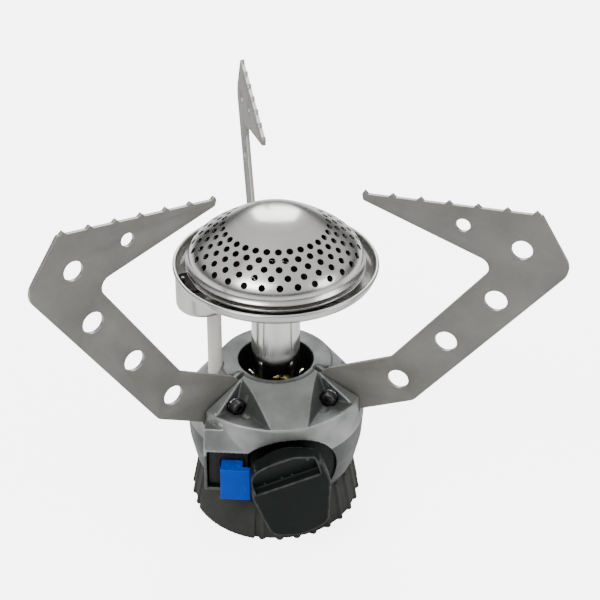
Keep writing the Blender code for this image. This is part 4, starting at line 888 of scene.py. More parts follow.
def front_hood(housing):
    """A slope from the bore to the belt over the front sector."""
    far, tall = 2 * BELT_RADIUS, 2 * HOUSING_TOP
    clear = lathe(
        "clear",
        [
            (HOOD_INNER_RADIUS, HOUSING_TOP + 1 * MM),
            (far, HOUSING_TOP + 1 * MM),
            (far, BELT_TOP + 3 * MM),
            (HOOD_INNER_RADIUS, BELT_TOP + 3 * MM),
        ],
        steps=160,
    )
    combine(clear, [sector("wedge", HOOD_FROM, HOOD_TO, 3 * far, 0, tall)], "INTERSECT")
    inner = HOOD_INNER_RADIUS - 0.9 * MM
    hood = lathe(
        "hood",
        [
            (inner, HOUSING_TOP - 0.1 * MM),
            (HOOD_INNER_RADIUS + 0.2 * MM, HOUSING_TOP - 0.1 * MM),
            (BELT_RADIUS, HOOD_CREASE, 0.5 * MM),
            (BELT_RADIUS, BELT_BOTTOM + 1 * MM),
            (inner, BELT_BOTTOM + 1 * MM),
        ],
        steps=160,
    )
    combine(hood, [sector("wedge", HOOD_FROM - 1, HOOD_TO + 1, 3 * far, 0, tall)], "INTERSECT")
    cut(housing, clear)
    join(housing, hood)


def igniter_block(housing):
    low = KNOB_HEIGHT - FRAME_BELOW - GAP - BLOCK_WALL
    lip = KNOB_HEIGHT + FRAME_ABOVE + BLOCK_WALL
    side = [
        (-BLOCK_FACE, low),
        (-BLOCK_FACE, lip),
        (-BLOCK_FACE + 3.0 * MM, lip + 7.5 * MM),
        (-CAVITY_RADIUS + 2 * MM, lip + 7.5 * MM),
        (-CAVITY_RADIUS + 2 * MM, low),
    ]
    turn = Matrix(((0, 0, 1, 0), (1, 0, 0, 0), (0, 1, 0, 0), (0, 0, 0, 1)))
    left = BUTTON_OFFSET - FRAME_LEFT - GAP - BLOCK_WALL
    right = BUTTON_OFFSET + FRAME_RIGHT + GAP + BLOCK_WALL
    join(housing, slab("shell", [side], left, right, block_place() @ turn))
    pocket = piezo_box(
        "pocket",
        -FRAME_LEFT - GAP,
        FRAME_RIGHT + GAP,
        UNIT_FRONT - 0.6 * MM,
        BLOCK_FACE + 9 * MM,
        KNOB_HEIGHT - FRAME_BELOW - GAP,
        KNOB_HEIGHT + FRAME_ABOVE + GAP,
    )
    reach = UNIT_HALF + GAP
    tunnel = piezo_box(
        "tunnel",
        -reach,
        reach,
        UNIT_BACK - 2 * MM,
        UNIT_FRONT + 2 * MM,
        KNOB_HEIGHT - reach,
        KNOB_HEIGHT + reach,
    )
    relief = piezo_box(
        "relief",
        -BUTTON_WIDTH / 2 - BUTTON_PLAY,
        PAD_WIDTH - BUTTON_WIDTH / 2 + BUTTON_PLAY,
        BUTTON_FACE - PAD_THICK - PRESS - BUTTON_PLAY,
        BLOCK_FACE + 9 * MM,
        BUTTON_TOP - PAD_HEIGHT - BUTTON_PLAY,
        BUTTON_TOP + BUTTON_PLAY,
    )
    cut(housing, pocket, tunnel, relief)


def facet_corners(side):
    """The deepest point of a facet, and the three corners it opens to."""
    deep = Vector((PIVOT_RADIUS - 1.4 * MM, side * (CHEEK + 0.2 * MM), PIVOT_HEIGHT - 2.0 * MM))
    corners = [
        Vector((17.7 * MM, side * 1.7 * MM, HOUSING_TOP - 0.9 * MM)),
        Vector((BELT_RADIUS - 0.9 * MM, side * 6.6 * MM, HOOD_CREASE + 0.3 * MM)),
        Vector((BELT_RADIUS - 11.7 * MM, side * 24.9 * MM, HOOD_CREASE + 0.2 * MM)),
    ]
    return deep, corners


def facet(place, side):
    """A three-sided hollow that leads down to a screw head."""
    deep, corners = facet_corners(side)
    form = bmesh.new()
    points = [form.verts.new(deep)] + [form.verts.new(deep + (corner - deep) * 1.6) for corner in corners]
    bmesh.ops.convex_hull(form, input=points)
    bmesh.ops.recalc_face_normals(form, faces=form.faces)
    return from_form("facet", form, place)


def support_seat(housing, name, azimuth):
    place = radial(azimuth)
    floor = PIVOT_HEIGHT - 10.6 * MM
    slot = [
        (BORE_RADIUS + 1.3 * MM, HOUSING_TOP + 4 * MM),
        (BORE_RADIUS + 1.3 * MM, floor),
        (PIVOT_RADIUS + 3.0 * MM, floor + 0.4 * MM),
        (BELT_RADIUS + 6 * MM, floor + 4.6 * MM),
        (BELT_RADIUS + 6 * MM, HOUSING_TOP + 4 * MM),
    ]
    side = SCREW_SIDE[name]
    tools = [slab("slot", [slot], -SLOT_HALF, SLOT_HALF, place @ STAND)]
    seats = ((side * CHEEK, side * (CHEEK + 5.0 * MM), HEAD_SEAT_RADIUS),)
    seats += ((-side * CHEEK, -side * (CHEEK + 16 * MM), NUT_SEAT_RADIUS),)
    seats += ((-14 * MM, 14 * MM, PIN_HOLE_RADIUS),)
    for near, far, radius in seats:
        start = (PIVOT_RADIUS, near, PIVOT_HEIGHT)
        end = (PIVOT_RADIUS, far, PIVOT_HEIGHT)
        tools.append(rod("seat", radius, start, end, place=place))
    if name != "rear":
        tools.append(facet(place, side))
    cut(housing, *tools)


def in_facet(point, side):
    """Whether a point, in a support's own directions, lies on the walls of its facet."""
    deep, corners = facet_corners(side)
    middle = sum(corners, Vector()) / 3
    for a, b in ((0, 1), (1, 2), (2, 0)):
        across = (corners[a] - deep).cross(corners[b] - deep).normalized()
        if across.dot(middle - deep) < 0:
            across = -across
        if across.dot(point - deep) < -0.15 * MM:
            return False
    return point.z < HOUSING_TOP - 0.5 * MM and point.x < BELT_RADIUS - 0.5 * MM


def casting_shade(point):
    """How much painted shade darkens the casting at a point: most in the knob's recess and the igniter
    pocket, then in the bore, the skirt below the belt, the top ring and the facets.
    """
    out = point.to_2d().length
    beside_knob = math.hypot(point.x, point.z - KNOB_HEIGHT) < RECESS_RADIUS + 0.15 * MM
    if beside_knob and point.y < -RECESS_FLOOR + MM:
        return POCKET_SHADE
    local = block_place().inverted() @ point
    along, up = local.x - BUTTON_OFFSET, local.z - KNOB_HEIGHT
    reach = 0.5 * MM
    if -FRAME_LEFT - reach < along < FRAME_RIGHT + reach and -FRAME_BELOW - reach < up < FRAME_ABOVE + reach:
        if UNIT_FRONT - MM < -local.y < BLOCK_FACE - 0.4 * MM:
            return POCKET_SHADE
    in_cavity = out < CAVITY_RADIUS + 0.3 * MM and point.z < CAVITY_TOP + 0.3 * MM
    if out < BORE_RADIUS + 0.25 * MM or in_cavity:
        return BORE_SHADE
    for name in ("left", "right"):
        local = radial(-SUPPORTS[name]) @ point
        beside = local.y * SCREW_SIDE[name]
        seat = math.hypot(local.x - PIVOT_RADIUS, local.z - PIVOT_HEIGHT) < 3.6 * MM
        if in_facet(local, SCREW_SIDE[name]) or (seat and 0 < beside < CHEEK + 6 * MM):
            return FACET_SHADE
    if point.z > HOUSING_TOP - 0.4 * MM:
        return RING_SHADE
    if point.z < BELT_BOTTOM:
        return SKIRT_SHADE
    return 0.0


def make_housing():
    housing = housing_core()
    front_hood(housing)
    igniter_block(housing)
    knob_end = (0, -60 * MM, KNOB_HEIGHT)
    recess = rod("recess", RECESS_RADIUS, (0, -RECESS_FLOOR, KNOB_HEIGHT), knob_end, 128)
    gland = rod("gland", 5.7 * MM, (0, -15 * MM, KNOB_HEIGHT), (0, -30 * MM, KNOB_HEIGHT))
    cut(housing, recess, gland)
    for name, azimuth in SUPPORTS.items():
        support_seat(housing, name, azimuth)
    low, high = ELECTRODE + UP * (CAVITY_TOP - 3 * MM), ELECTRODE + UP * (HOUSING_TOP + 3 * MM)
    hole = rod("hole", CERAMIC_RADIUS + GAP, low, high)
    low, high = ELECTRODE + UP * (HOUSING_BOTTOM - MM), ELECTRODE + UP * CAVITY_TOP
    bay = rod("bay", CERAMIC_RADIUS + 2.1 * MM, low, high)
    cut(housing, hole, bay)
    cast_surface(housing, 0.36 * MM, 3, 0.55)
    # painted shade: each point of the skin stores how far the casting's colour is darkened
    shade = housing.data.attributes.new("shade", "FLOAT", "POINT")
    shades_of_points = [casting_shade(vertex.co) for vertex in housing.data.vertices]
    shade.data.foreach_set("value", shades_of_points)
    return stands_for(housing, "upper_housing", CAST, sharp=None)


make_housing()

# %% [markdown]
# Each pan support is a flat blank of steel plate, sheared to a bent outline with seven small teeth that hold
# a pan, and five holes to save weight. A flat curve does all of it at once: the first outline is the edge,
# every further one is a hole, and a small bevel takes the sharpness off. The broad faces are coated and the
# sheared edges are brighter, so each face takes its material by the way that it looks.

# %% Pan supports
SETTLE = {"left": 1.9, "right": -1.9, "rear": 0.4}  # degrees that each leans in its slot
TOOTH_COUNT, TOOTH_PITCH, TOOTH_HEIGHT, TOOTH_WIDTH = 7, 9.94 * MM, 1.3 * MM, 2.6 * MM
# radius, height above the housing and hole radius, in millimetres
SUPPORT_HOLES = ((65.6, 74.0, 2.5), (86.5, 69.3, 3.6), (80.1, 47.2, 4.0), (64.4, 25.6, 4.0), (48.3, 4.0, 3.9))


def support_outline():
    """The edge of a support in radius and height above the housing, with its teeth."""
    first = Vector((29.3 * MM, 77.9 * MM))
    last = Vector((91.6 * MM, 83.8 * MM))
    along = (last - first).normalized()
    up = Vector((-along.y, along.x))
    corners = [(*first, 0.6 * MM)]
    for k in range(TOOTH_COUNT):
        foot = first + along * (0.9 * MM + k * TOOTH_PITCH)
        if k:
            corners.append((*(foot - along * TOOTH_WIDTH / 2), 0.3 * MM))
        corners.append((*(foot + up * TOOTH_HEIGHT), 0.25 * MM))
        corners.append((*(foot + along * TOOTH_WIDTH / 2), 0.3 * MM))
    pivot = PIVOT_HEIGHT - HOUSING_TOP
    corners += [
        (*last, 1.0 * MM),
        (104.3 * MM, 65.3 * MM, 6.5 * MM),
        (54.9 * MM, -3.7 * MM, 5.0 * MM),
        (PIVOT_RADIUS + 2.0 * MM, pivot - 10.3 * MM, 3.0 * MM),
        (PIVOT_RADIUS - 7.7 * MM, pivot - 5.6 * MM, 4.5 * MM),
        (PIVOT_RADIUS - 7.7 * MM, pivot + 4.4 * MM, 4.5 * MM),
        (PIVOT_RADIUS - 2.8 * MM, pivot + 9.0 * MM, 1.5 * MM),
        (44.7 * MM, 12.9 * MM, 2.0 * MM),
        (78.6 * MM, 61.3 * MM, 4.0 * MM),
        (29.8 * MM, 75.6 * MM, 1.0 * MM),
    ]
    return rounded(corners[::-1], steps=8)


def circle(x, y, radius, count=48):
    turns = [2 * math.pi * k / count for k in range(count)]
    return [(x + radius * math.cos(turn), y + radius * math.sin(turn)) for turn in turns]


def make_support(name, azimuth):
    pivot = Vector((PIVOT_RADIUS, PIVOT_HEIGHT - HOUSING_TOP))
    outlines = [[(x - pivot.x, y - pivot.y) for x, y in support_outline()]]
    for x, y, radius in SUPPORT_HOLES:
        outlines.append(circle(x * MM - pivot.x, y * MM - pivot.y, radius * MM))
    outlines.append(circle(0, 0, 1.65 * MM))
    lean = Matrix.Rotation(math.radians(-SETTLE[name]), 4, "Y")
    place = radial(azimuth) @ Matrix.Translation((PIVOT_RADIUS, 0, PIVOT_HEIGHT)) @ lean @ STAND
    support = slab(f"support_plate_{name}", outlines, -PLATE / 2, PLATE / 2, place, bevel=0.12 * MM)
    across = place.to_3x3() @ Vector((0, 0, 1))
    applied(support)
    support.data.materials.clear()
    support.data.materials.append(COATED)
    support.data.materials.append(SHEARED)
    for face in support.data.polygons:
        face.material_index = 0 if abs(face.normal.dot(across)) > 0.9 else 1
    return stands_for(support, f"pan_support_{name}", sharp=25.0)


for name, azimuth in SUPPORTS.items():
    make_support(name, azimuth)

# %% [markdown]
# A socket-head screw, a spring washer and a nut hold each support. The screw head's socket is a six-sided
# pocket, and its rim is rounded. The washer is split by a slanted cut, as a spring washer is.

# %% Screws, washers and nuts
SCREW_RADIUS, HEAD_RADIUS, HEAD_HEIGHT = 1.5 * MM, 2.75 * MM, 3.0 * MM
NUT_RADIUS, NUT_HEIGHT, WASHER = 3.1 * MM, 2.4 * MM, 0.6 * MM


def make_fastener(name, azimuth):
    aim = Matrix.Rotation(-SCREW_SIDE[name] * math.pi / 2, 4, "X")
    place = radial(azimuth) @ Matrix.Translation((PIVOT_RADIUS, 0, PIVOT_HEIGHT)) @ aim
    seat = CHEEK + GAP + WASHER + GAP
    top = seat + HEAD_HEIGHT
    tip = -CHEEK - GAP - NUT_HEIGHT - 0.8 * MM
    screw = lathe(
        f"socket_screw_{name}",
        [
            (0, top),
            (HEAD_RADIUS, top, 0.45 * MM),
            (HEAD_RADIUS, seat, 0.15 * MM),
            (SCREW_RADIUS, seat),
            (SCREW_RADIUS, tip, 0.3 * MM),
            (0, tip),
        ],
        steps=48,
    )
    cut(screw, rod("socket", 1.45 * MM, (0, 0, top - 1.6 * MM), (0, 0, top + MM), 6))
    screw.matrix_world = place
    stands_for(screw, f"pivot_screw_{name}", DARK_STEEL)
    washer = lathe(
        f"split_washer_{name}",
        [
            (HEAD_RADIUS - 0.1 * MM, CHEEK + GAP + WASHER, 0.12 * MM),
            (HEAD_RADIUS - 0.1 * MM, CHEEK + GAP, 0.12 * MM),
            (SCREW_RADIUS + GAP, CHEEK + GAP, 0.1 * MM),
            (SCREW_RADIUS + GAP, CHEEK + GAP + WASHER, 0.1 * MM),
        ],
        steps=64,
        arc=3,
    )
    slant = Matrix.Rotation(0.3, 4, "X")
    cut(washer, block("split", (0, -0.2 * MM, 0), (5 * MM, 0.2 * MM, 9 * MM), slant))
    washer.matrix_world = place
    stands_for(washer, f"spring_washer_{name}", BRIGHT_STEEL)
    nut = rod(f"hex_nut_{name}", NUT_RADIUS, (0, 0, -CHEEK - GAP - NUT_HEIGHT), (0, 0, -CHEEK - GAP), 6)
    crown = lathe(
        "crown",
        [
            (0, -CHEEK - GAP),
            (NUT_RADIUS + 0.05 * MM, -CHEEK - GAP, 0.5 * MM),
            (NUT_RADIUS + 0.05 * MM, -CHEEK - GAP - NUT_HEIGHT, 0.6 * MM),
            (0, -CHEEK - GAP - NUT_HEIGHT),
        ],
        steps=48,
    )
    combine(nut, [crown], "INTERSECT")
    cut(nut, rod("bore", SCREW_RADIUS + GAP, (0, 0, -9 * MM), (0, 0, 0)))
    nut.matrix_world = place
    stands_for(nut, f"pivot_nut_{name}", DARK_STEEL)


for name, azimuth in SUPPORTS.items():
    make_fastener(name, azimuth)

# %% [markdown]
# The mixing tube is thin bright tube with four air windows at its foot, where the jet draws the air in, and
# a rolled bead that the pan rests on. The retainer round its foot is a flat spring ring with two ears that
# press against the bore.

# %% Mixing tube and retainer
TUBE_RADIUS, TUBE_WALL = 9.2 * MM, 0.6 * MM
PAN_FLOOR = RIM - 9.0 * MM
TUBE_FOOT = BORE_FLOOR + NUT_HEIGHT + GAP


def make_tube():
    top = PAN_FLOOR + 3.6 * MM
    bead = PAN_FLOOR - GAP
    inner = TUBE_RADIUS - TUBE_WALL
    tube = lathe(
        "bright_tube",
        [
            (TUBE_RADIUS, top, 0.2 * MM),
            (TUBE_RADIUS, bead),
            (TUBE_RADIUS + 1.1 * MM, bead, 0.7 * MM),
            (TUBE_RADIUS + 1.1 * MM, bead - 1.9 * MM, 0.7 * MM),
            (TUBE_RADIUS, bead - 1.9 * MM, 0.15 * MM),
            (TUBE_RADIUS, TUBE_FOOT),
            (inner, TUBE_FOOT),
            (inner, top, 0.2 * MM),
        ],
        steps=160,
    )
    low, high, half = TUBE_FOOT + 2.2 * MM, HOUSING_TOP - 1.5 * MM, 4.6 * MM
    sill, arch = 0.6 * MM, 4.4 * MM
    window = rounded([(-half, low, sill), (half, low, sill), (half, high, arch), (-half, high, arch)], 8)
    windows = []
    for k in range(4):
        aim = radial(270 + 90 * k + 4) @ Matrix.Translation((TUBE_RADIUS, 0, 0)) @ OUTWARD
        windows.append(slab("window", [window], -3 * MM, 3 * MM, aim))
    cut(tube, *windows)
    return stands_for(tube, "mixing_tube", TUBE_SHEET)


def make_retainer():
    ring = lathe(
        "retainer_spring",
        [
            (BORE_RADIUS - GAP, TUBE_FOOT + 0.5 * MM, 0.1 * MM),
            (BORE_RADIUS - GAP, TUBE_FOOT),
            (TUBE_RADIUS + GAP, TUBE_FOOT),
            (TUBE_RADIUS + GAP, TUBE_FOOT + 0.5 * MM, 0.1 * MM),
        ],
        steps=96,
        arc=2,
    )
    ears = []
    for azimuth in (210.0, 315.0):
        side = rounded(
            [
                (-1.6 * MM, TUBE_FOOT + 0.1 * MM, 0),
                (1.6 * MM, TUBE_FOOT + 0.1 * MM, 0),
                (1.6 * MM, HOUSING_TOP - 0.4 * MM, 0.9 * MM),
                (-1.6 * MM, HOUSING_TOP - 0.4 * MM, 0.9 * MM),
            ]
        )
        ears.append(slab("ear", [side], 12.0 * MM, 12.5 * MM, radial(azimuth) @ OUTWARD))
    join(ring, *ears)
    return stands_for(ring, "tube_retainer", BRIGHT_STEEL)


make_tube()
make_retainer()

# %% [markdown]
# The burner's head is a dome with five rows of flame holes over a cup that spreads the gas. The dome is
# pressed, so its line is smooth, and every hole is punched square to the surface. Each hole is a short rod
# that is cut out of the turned dome.

# %% Burner dome
SHEET = 0.8 * MM
DOME_RADIUS, DOME_RISE = 33.0 * MM, 21.0 * MM
DOME_SHAPE = (  # share of the radius, and share of the rise
    (0.0, 1.0),
    (0.15, 0.985),
    (0.30, 0.94),
    (0.47, 0.83),
    (0.71, 0.605),
    (0.90, 0.395),
    (0.975, 0.26),
    (1.0, 0.14),
)
DOME_ROWS, HOLES_PER_ROW = 5, 30
FIRST_ROW, ROW_PITCH, HOLE_RADIUS = 20.6 * MM, 3.4 * MM, 1.25 * MM


def flowing(points, steps=8):
    """A smooth line through the points."""
    line = []
    for k in range(len(points) - 1):
        a, b, c, d = (Vector(points[min(max(i, 0), len(points) - 1)]) for i in range(k - 1, k + 3))
        for step in range(steps):
            s = step / steps
            bend = (c - a) * s + (2 * a - 5 * b + 4 * c - d) * s**2 + (3 * b - a - 3 * c + d) * s**3
            line.append(b + bend / 2)
    return line + [Vector(points[-1])]


def dome_line(offset=0.0):
    """The dome's line of radius and height from top to rim, or the line that lies the offset inside it."""
    shoulder = DOME_RADIUS - 1.1 * MM
    line = flowing([(shoulder * share, RIM + DOME_RISE * rise) for share, rise in DOME_SHAPE])
    inner = []
    for k, point in enumerate(line):
        run = line[min(k + 1, len(line) - 1)] - line[max(k - 1, 0)]
        inner.append(point - Vector((-run.y, run.x)).normalized() * offset)
    inner[0].x = 0
    return inner


def on_dome(along):
    """The point that far along the dome's line from its top, and the way the surface faces there."""
    line = dome_line()
    for a, b in zip(line, line[1:]):
        run = b - a
        if along <= run.length:
            break
        along -= run.length
    run.normalize()
    point = a + run * along
    return Vector((point.x, 0, point.y)), Vector((-run.y, 0, run.x))


def darken_inside(obj, rule):
    """Faces inside the burner take the second finish, a near-black painted shade."""
    for face in obj.data.polygons:
        if rule(face.center, face.normal):
            face.material_index = 1


def make_dome():
    rim = [
        (DOME_RADIUS - 0.5 * MM, RIM + 2.1 * MM, 0.5 * MM),
        (DOME_RADIUS, RIM + 1.5 * MM, 0.3 * MM),
        (DOME_RADIUS, RIM, 0.2 * MM),
        (DOME_RADIUS - 1.0 * MM, RIM),
    ]
    outside = [tuple(point) for point in dome_line()]
    inside = [tuple(point) for point in dome_line(SHEET)]
    dome = lathe("pierced_dome", outside + rim + inside[::-1], steps=180, arc=3)
    holes = []
    for row in range(DOME_ROWS):
        middle, outward = on_dome(FIRST_ROW + row * ROW_PITCH)
        for k in range(HOLES_PER_ROW):
            aim = radial(360 / HOLES_PER_ROW * (k + 0.5 * (row % 2)))
            start, end = middle - outward * 2 * MM, middle + outward * MM
            holes.append(rod("hole", HOLE_RADIUS, start, end, 20, place=aim))
    cut(dome, *holes)
    stands_for(dome, "burner_dome", DOME_SHEET, INSIDE, sharp=40.0)

    def looks_in(middle, normal):
        return normal.z < 0.1 and middle.z > RIM + 0.2 * MM and normal.dot(middle.normalized()) < 0

    # painted shade: faces that look into the dome take the near-black finish
    darken_inside(dome, looks_in)


def make_cup():
    inner = TUBE_RADIUS + GAP
    floor, lip = PAN_FLOOR + SHEET + GAP, RIM - GAP
    cup = lathe(
        "spreader_cup",
        [
            (inner, floor + 3.0 * MM),
            (inner, floor),
            (inner + 3.2 * MM, floor, 1.5 * MM),
            (DOME_RADIUS - 3.5 * MM, lip - 4.3 * MM, 3 * MM),
            (DOME_RADIUS - 1.6 * MM, lip - SHEET, 0.5 * MM),
            (DOME_RADIUS, lip - SHEET, 0.25 * MM),
            (DOME_RADIUS, lip, 0.25 * MM),
            (DOME_RADIUS - 1.9 * MM, lip),
            (DOME_RADIUS - 1.9 * MM, lip + 1.2 * MM),
            (DOME_RADIUS - 2.7 * MM, lip + 1.2 * MM),
            (DOME_RADIUS - 2.7 * MM, lip - 1.4 * MM),
            (DOME_RADIUS - 4.4 * MM, lip - 3.6 * MM, 2 * MM),
            (inner + 3.2 * MM, floor + SHEET, 1 * MM),
            (inner + SHEET, floor + SHEET),
            (inner + SHEET, floor + 3.0 * MM),
        ],
        steps=160,
    )
    stands_for(cup, "burner_cup", DOME_SHEET, INSIDE)

    def in_the_cup(middle, normal):
        return middle.to_2d().length < DOME_RADIUS - 1.9 * MM and normal.z > -0.2

    # painted shade: the cup's faces under the dome take the near-black finish
    darken_inside(cup, in_the_cup)


make_dome()
make_cup()

# %% [markdown]
# The pan is pressed from one sheet: a shallow bowl with a rolled edge, and a deep round pocket on the left
# that carries the electrode. The bowl and the pocket are made as solids and joined, and then a thinner copy
# of both is cut out of them, which leaves the sheet.

# %% Burner pan
PAN_RADIUS, POCKET_RADIUS = 37.4 * MM, 9.8 * MM
POCKET_FLOOR = RIM - 15.0 * MM
POCKET = polar(PAN_RADIUS - POCKET_RADIUS, 186.0, 0)


def pan_solid(name, inset):
    """The pan's outside as one solid, or the hollow inside it, open at the top."""
    floor = PAN_FLOOR + inset
    top = RIM + (2 * MM if inset else 0)
    edge = PAN_RADIUS - inset
    corners = [
        (0, top),
        (edge, top, 0 if inset else 0.2 * MM),
        (edge, RIM - 1.6 * MM, 2 * MM),
        (edge - 0.7 * MM, RIM - 3.2 * MM, 2 * MM),
        (edge - 3.2 * MM, RIM - 5.0 * MM + 0.4 * inset, 6 * MM),
        (edge - 8.0 * MM, RIM - 7.6 * MM + 0.7 * inset, 12 * MM),
        (edge - 13.0 * MM, floor, 8 * MM),
        (0, floor),
    ]
    return lathe(name, corners, steps=160)


def pocket_solid(name, radius, floor, top, fillet):
    corners = [(0, top), (radius, top), (radius, floor, fillet), (0, floor)]
    return lathe(name, corners, steps=96, place=Matrix.Translation(POCKET))


def make_pan():
    pan = pan_solid("pressed_pan", 0)
    join(pan, pocket_solid("pocket", POCKET_RADIUS, POCKET_FLOOR, RIM - 1.2 * MM, 2.4 * MM))
    inside = pocket_solid("inside", POCKET_RADIUS - SHEET, POCKET_FLOOR + SHEET, RIM + 3 * MM, 1.8 * MM)
    cut(pan, pan_solid("hollow", SHEET), inside)
    shaft = rod("shaft", TUBE_RADIUS + GAP, (0, 0, PAN_FLOOR - 9 * MM), (0, 0, RIM), 96)
    foot, top = ELECTRODE + UP * (POCKET_FLOOR - 2 * MM), ELECTRODE + UP * (POCKET_FLOOR + 3 * MM)
    cut(pan, shaft, rod("ceramic_hole", CERAMIC_RADIUS + GAP, foot, top, 64))
    roll = lathe(
        "roll",
        [
            (PAN_RADIUS - 0.9 * MM, RIM - 1.0 * MM, 0.35 * MM),
            (PAN_RADIUS - 0.9 * MM, RIM + 0.4 * MM, 0.65 * MM),
            (PAN_RADIUS + 0.4 * MM, RIM + 0.4 * MM, 0.65 * MM),
            (PAN_RADIUS + 0.4 * MM, RIM - 1.0 * MM, 0.6 * MM),
        ],
        steps=160,
    )
    join(pan, roll)
    return stands_for(pan, "burner_pan", PAN_SHEET, sharp=40.0)


make_pan()

# %% [markdown]
# The knob is moulded: a shield-shaped grip with a scooped front, and a round hub behind it that sits in the
# housing's recess. One fine skin rounds all its edges. It stands a few degrees round from upright, so the
# grip is drawn upright and turned into place.

# %% Knob
KNOB_BACK, KNOB_FACE, KNOB_HUB_RADIUS, KNOB_TURN = 35.3 * MM, 43.0 * MM, 11.5 * MM, 10.0
# right, up and fillet, in millimetres from the knob's axis
KNOB_SIDE = [(14.9, 3.0, 6), (11.0, -16.6, 5), (0, -20.2, 14), (-11.0, -16.6, 5), (-14.9, 3.0, 6)]
KNOB_CROWN = [(-13.0, 13.6, 6), (0, 18.6, 14), (13.0, 13.6, 6)]


def make_knob():
    out = Matrix.Translation((0, 0, KNOB_HEIGHT)) @ Matrix.Rotation(math.radians(-KNOB_TURN), 4, "Y")
    out = out @ STAND
    corners = [(x * MM, y * MM, r * MM) for x, y, r in KNOB_SIDE + KNOB_CROWN]
    outline = rounded(corners[::-1], 12)
    knob = slab("moulded_knob", [outline], KNOB_BACK, KNOB_FACE, out, bevel=0.7 * MM)
    scoop = [
        (KNOB_FACE + 2 * MM, 5.6 * MM),
        (KNOB_FACE - 3.4 * MM, 6.8 * MM),
        (KNOB_FACE - 0.7 * MM, 16.6 * MM),
        (KNOB_FACE + 2 * MM, 17.4 * MM),
    ]
    lean = Matrix.Rotation(math.radians(7), 4, "Z")
    flip = Matrix(((0, 0, -1, 0), (0, 1, 0, 0), (1, 0, 0, 0), (0, 0, 0, 1)))
    cut(knob, slab("scoop", [scoop], -12.4 * MM, 12.4 * MM, out @ lean @ flip))
    start, end = (0, 0, RECESS_FLOOR + 0.9 * MM), (0, 0, KNOB_BACK + MM)
    join(knob, rod("hub", KNOB_HUB_RADIUS, start, end, 96, place=out))
    cut(knob, rod("socket", 2.3 * MM, (0, 0, 0), (0, 0, KNOB_BACK + 3 * MM), 32, place=out))
    cast_surface(knob, 0.28 * MM, 9, 0.6)
    return stands_for(knob, "control_knob", KNOB_BLACK, sharp=None)


make_knob()

# %% [markdown]
# The igniter has a black frame in the box on the housing, and a blue push button with a spring behind it. Its
# piezo unit and the lead that runs to the electrode keep their plain shapes. The electrode is a wire in a
# glazed ceramic tube, bent out over the pan's pocket to stand beside the dome's rim.

# %% Igniter


def wire(name, points, radius, place=None, smooth=True):
    """A round wire along the points, rounded at its bends if it is smooth."""
    curve = bpy.data.curves.new(name, "CURVE")
    curve.dimensions = "3D"
    curve.bevel_depth = radius
    curve.bevel_resolution = 5
    curve.use_fill_caps = True
    line = curve.splines.new("NURBS" if smooth else "POLY")
    line.points.add(len(points) - 1)
    for point, co in zip(line.points, points):
        point.co = (*co, 1)
    if smooth:
        line.order_u = 3
        line.use_endpoint_u = True
        line.resolution_u = 8
    guide = bpy.data.objects.new(name, curve)
    workshop.objects.link(guide)
    bpy.context.view_layer.update()
    mesh = bpy.data.meshes.new_from_object(guide.evaluated_get(bpy.context.evaluated_depsgraph_get()))
    bpy.data.objects.remove(guide)
    return add(name, mesh, place)


def make_frame_and_button():
    half, play = BUTTON_WIDTH / 2, BUTTON_PLAY
    frame_piece = piezo_box(
        "igniter_frame",
        -FRAME_LEFT,
        FRAME_RIGHT,
        UNIT_FRONT - GAP,
        FRAME_FACE,
        KNOB_HEIGHT - FRAME_BELOW,
        KNOB_HEIGHT + FRAME_ABOVE,
    )
    low, high = BUTTON_TOP - BUTTON_HEIGHT - play, BUTTON_TOP + play
    cut(frame_piece, piezo_box("guide", -half - play, half + play, UNIT_BACK, BUTTON_FACE, low, high))
    bevel(frame_piece, 0.35 * MM, 3)
    stands_for(frame_piece, "piezo_frame", FRAME_BLACK)
    stem = (BUTTON_BACK, BUTTON_FACE - 0.5 * MM, BUTTON_TOP - BUTTON_HEIGHT, BUTTON_TOP)
    button = piezo_box("push_button", -half, half, *stem)
    pad = (BUTTON_FACE - PAD_THICK, BUTTON_FACE, BUTTON_TOP - PAD_HEIGHT, BUTTON_TOP)
    join(button, piezo_box("pad", -half, PAD_WIDTH - half, *pad))
    cast_surface(button, 0.2 * MM, 5, 0.6)
    stands_for(button, "piezo_button", BUTTON_BLUE, sharp=None)


def make_spring():
    middle = BUTTON_TOP - BUTTON_HEIGHT / 2
    axis = block_place() @ Matrix.Translation((BUTTON_OFFSET, 0, middle)) @ STAND
    thick, coils, steps, radius = 0.35 * MM, 4, 24, 2.6 * MM
    low, high = UNIT_FRONT - GAP / 2, BUTTON_BACK - GAP - thick
    rise = (high - low - thick) / (coils * steps)
    points = []
    for k in range(coils * steps + 1):
        angle = 2 * math.pi * k / steps
        points.append((radius * math.cos(angle), radius * math.sin(angle), low + thick + rise * k))
    spring = stands_for(wire("coil_spring", points, thick, axis, smooth=False), "button_spring", BRIGHT_STEEL)
    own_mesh(spring)


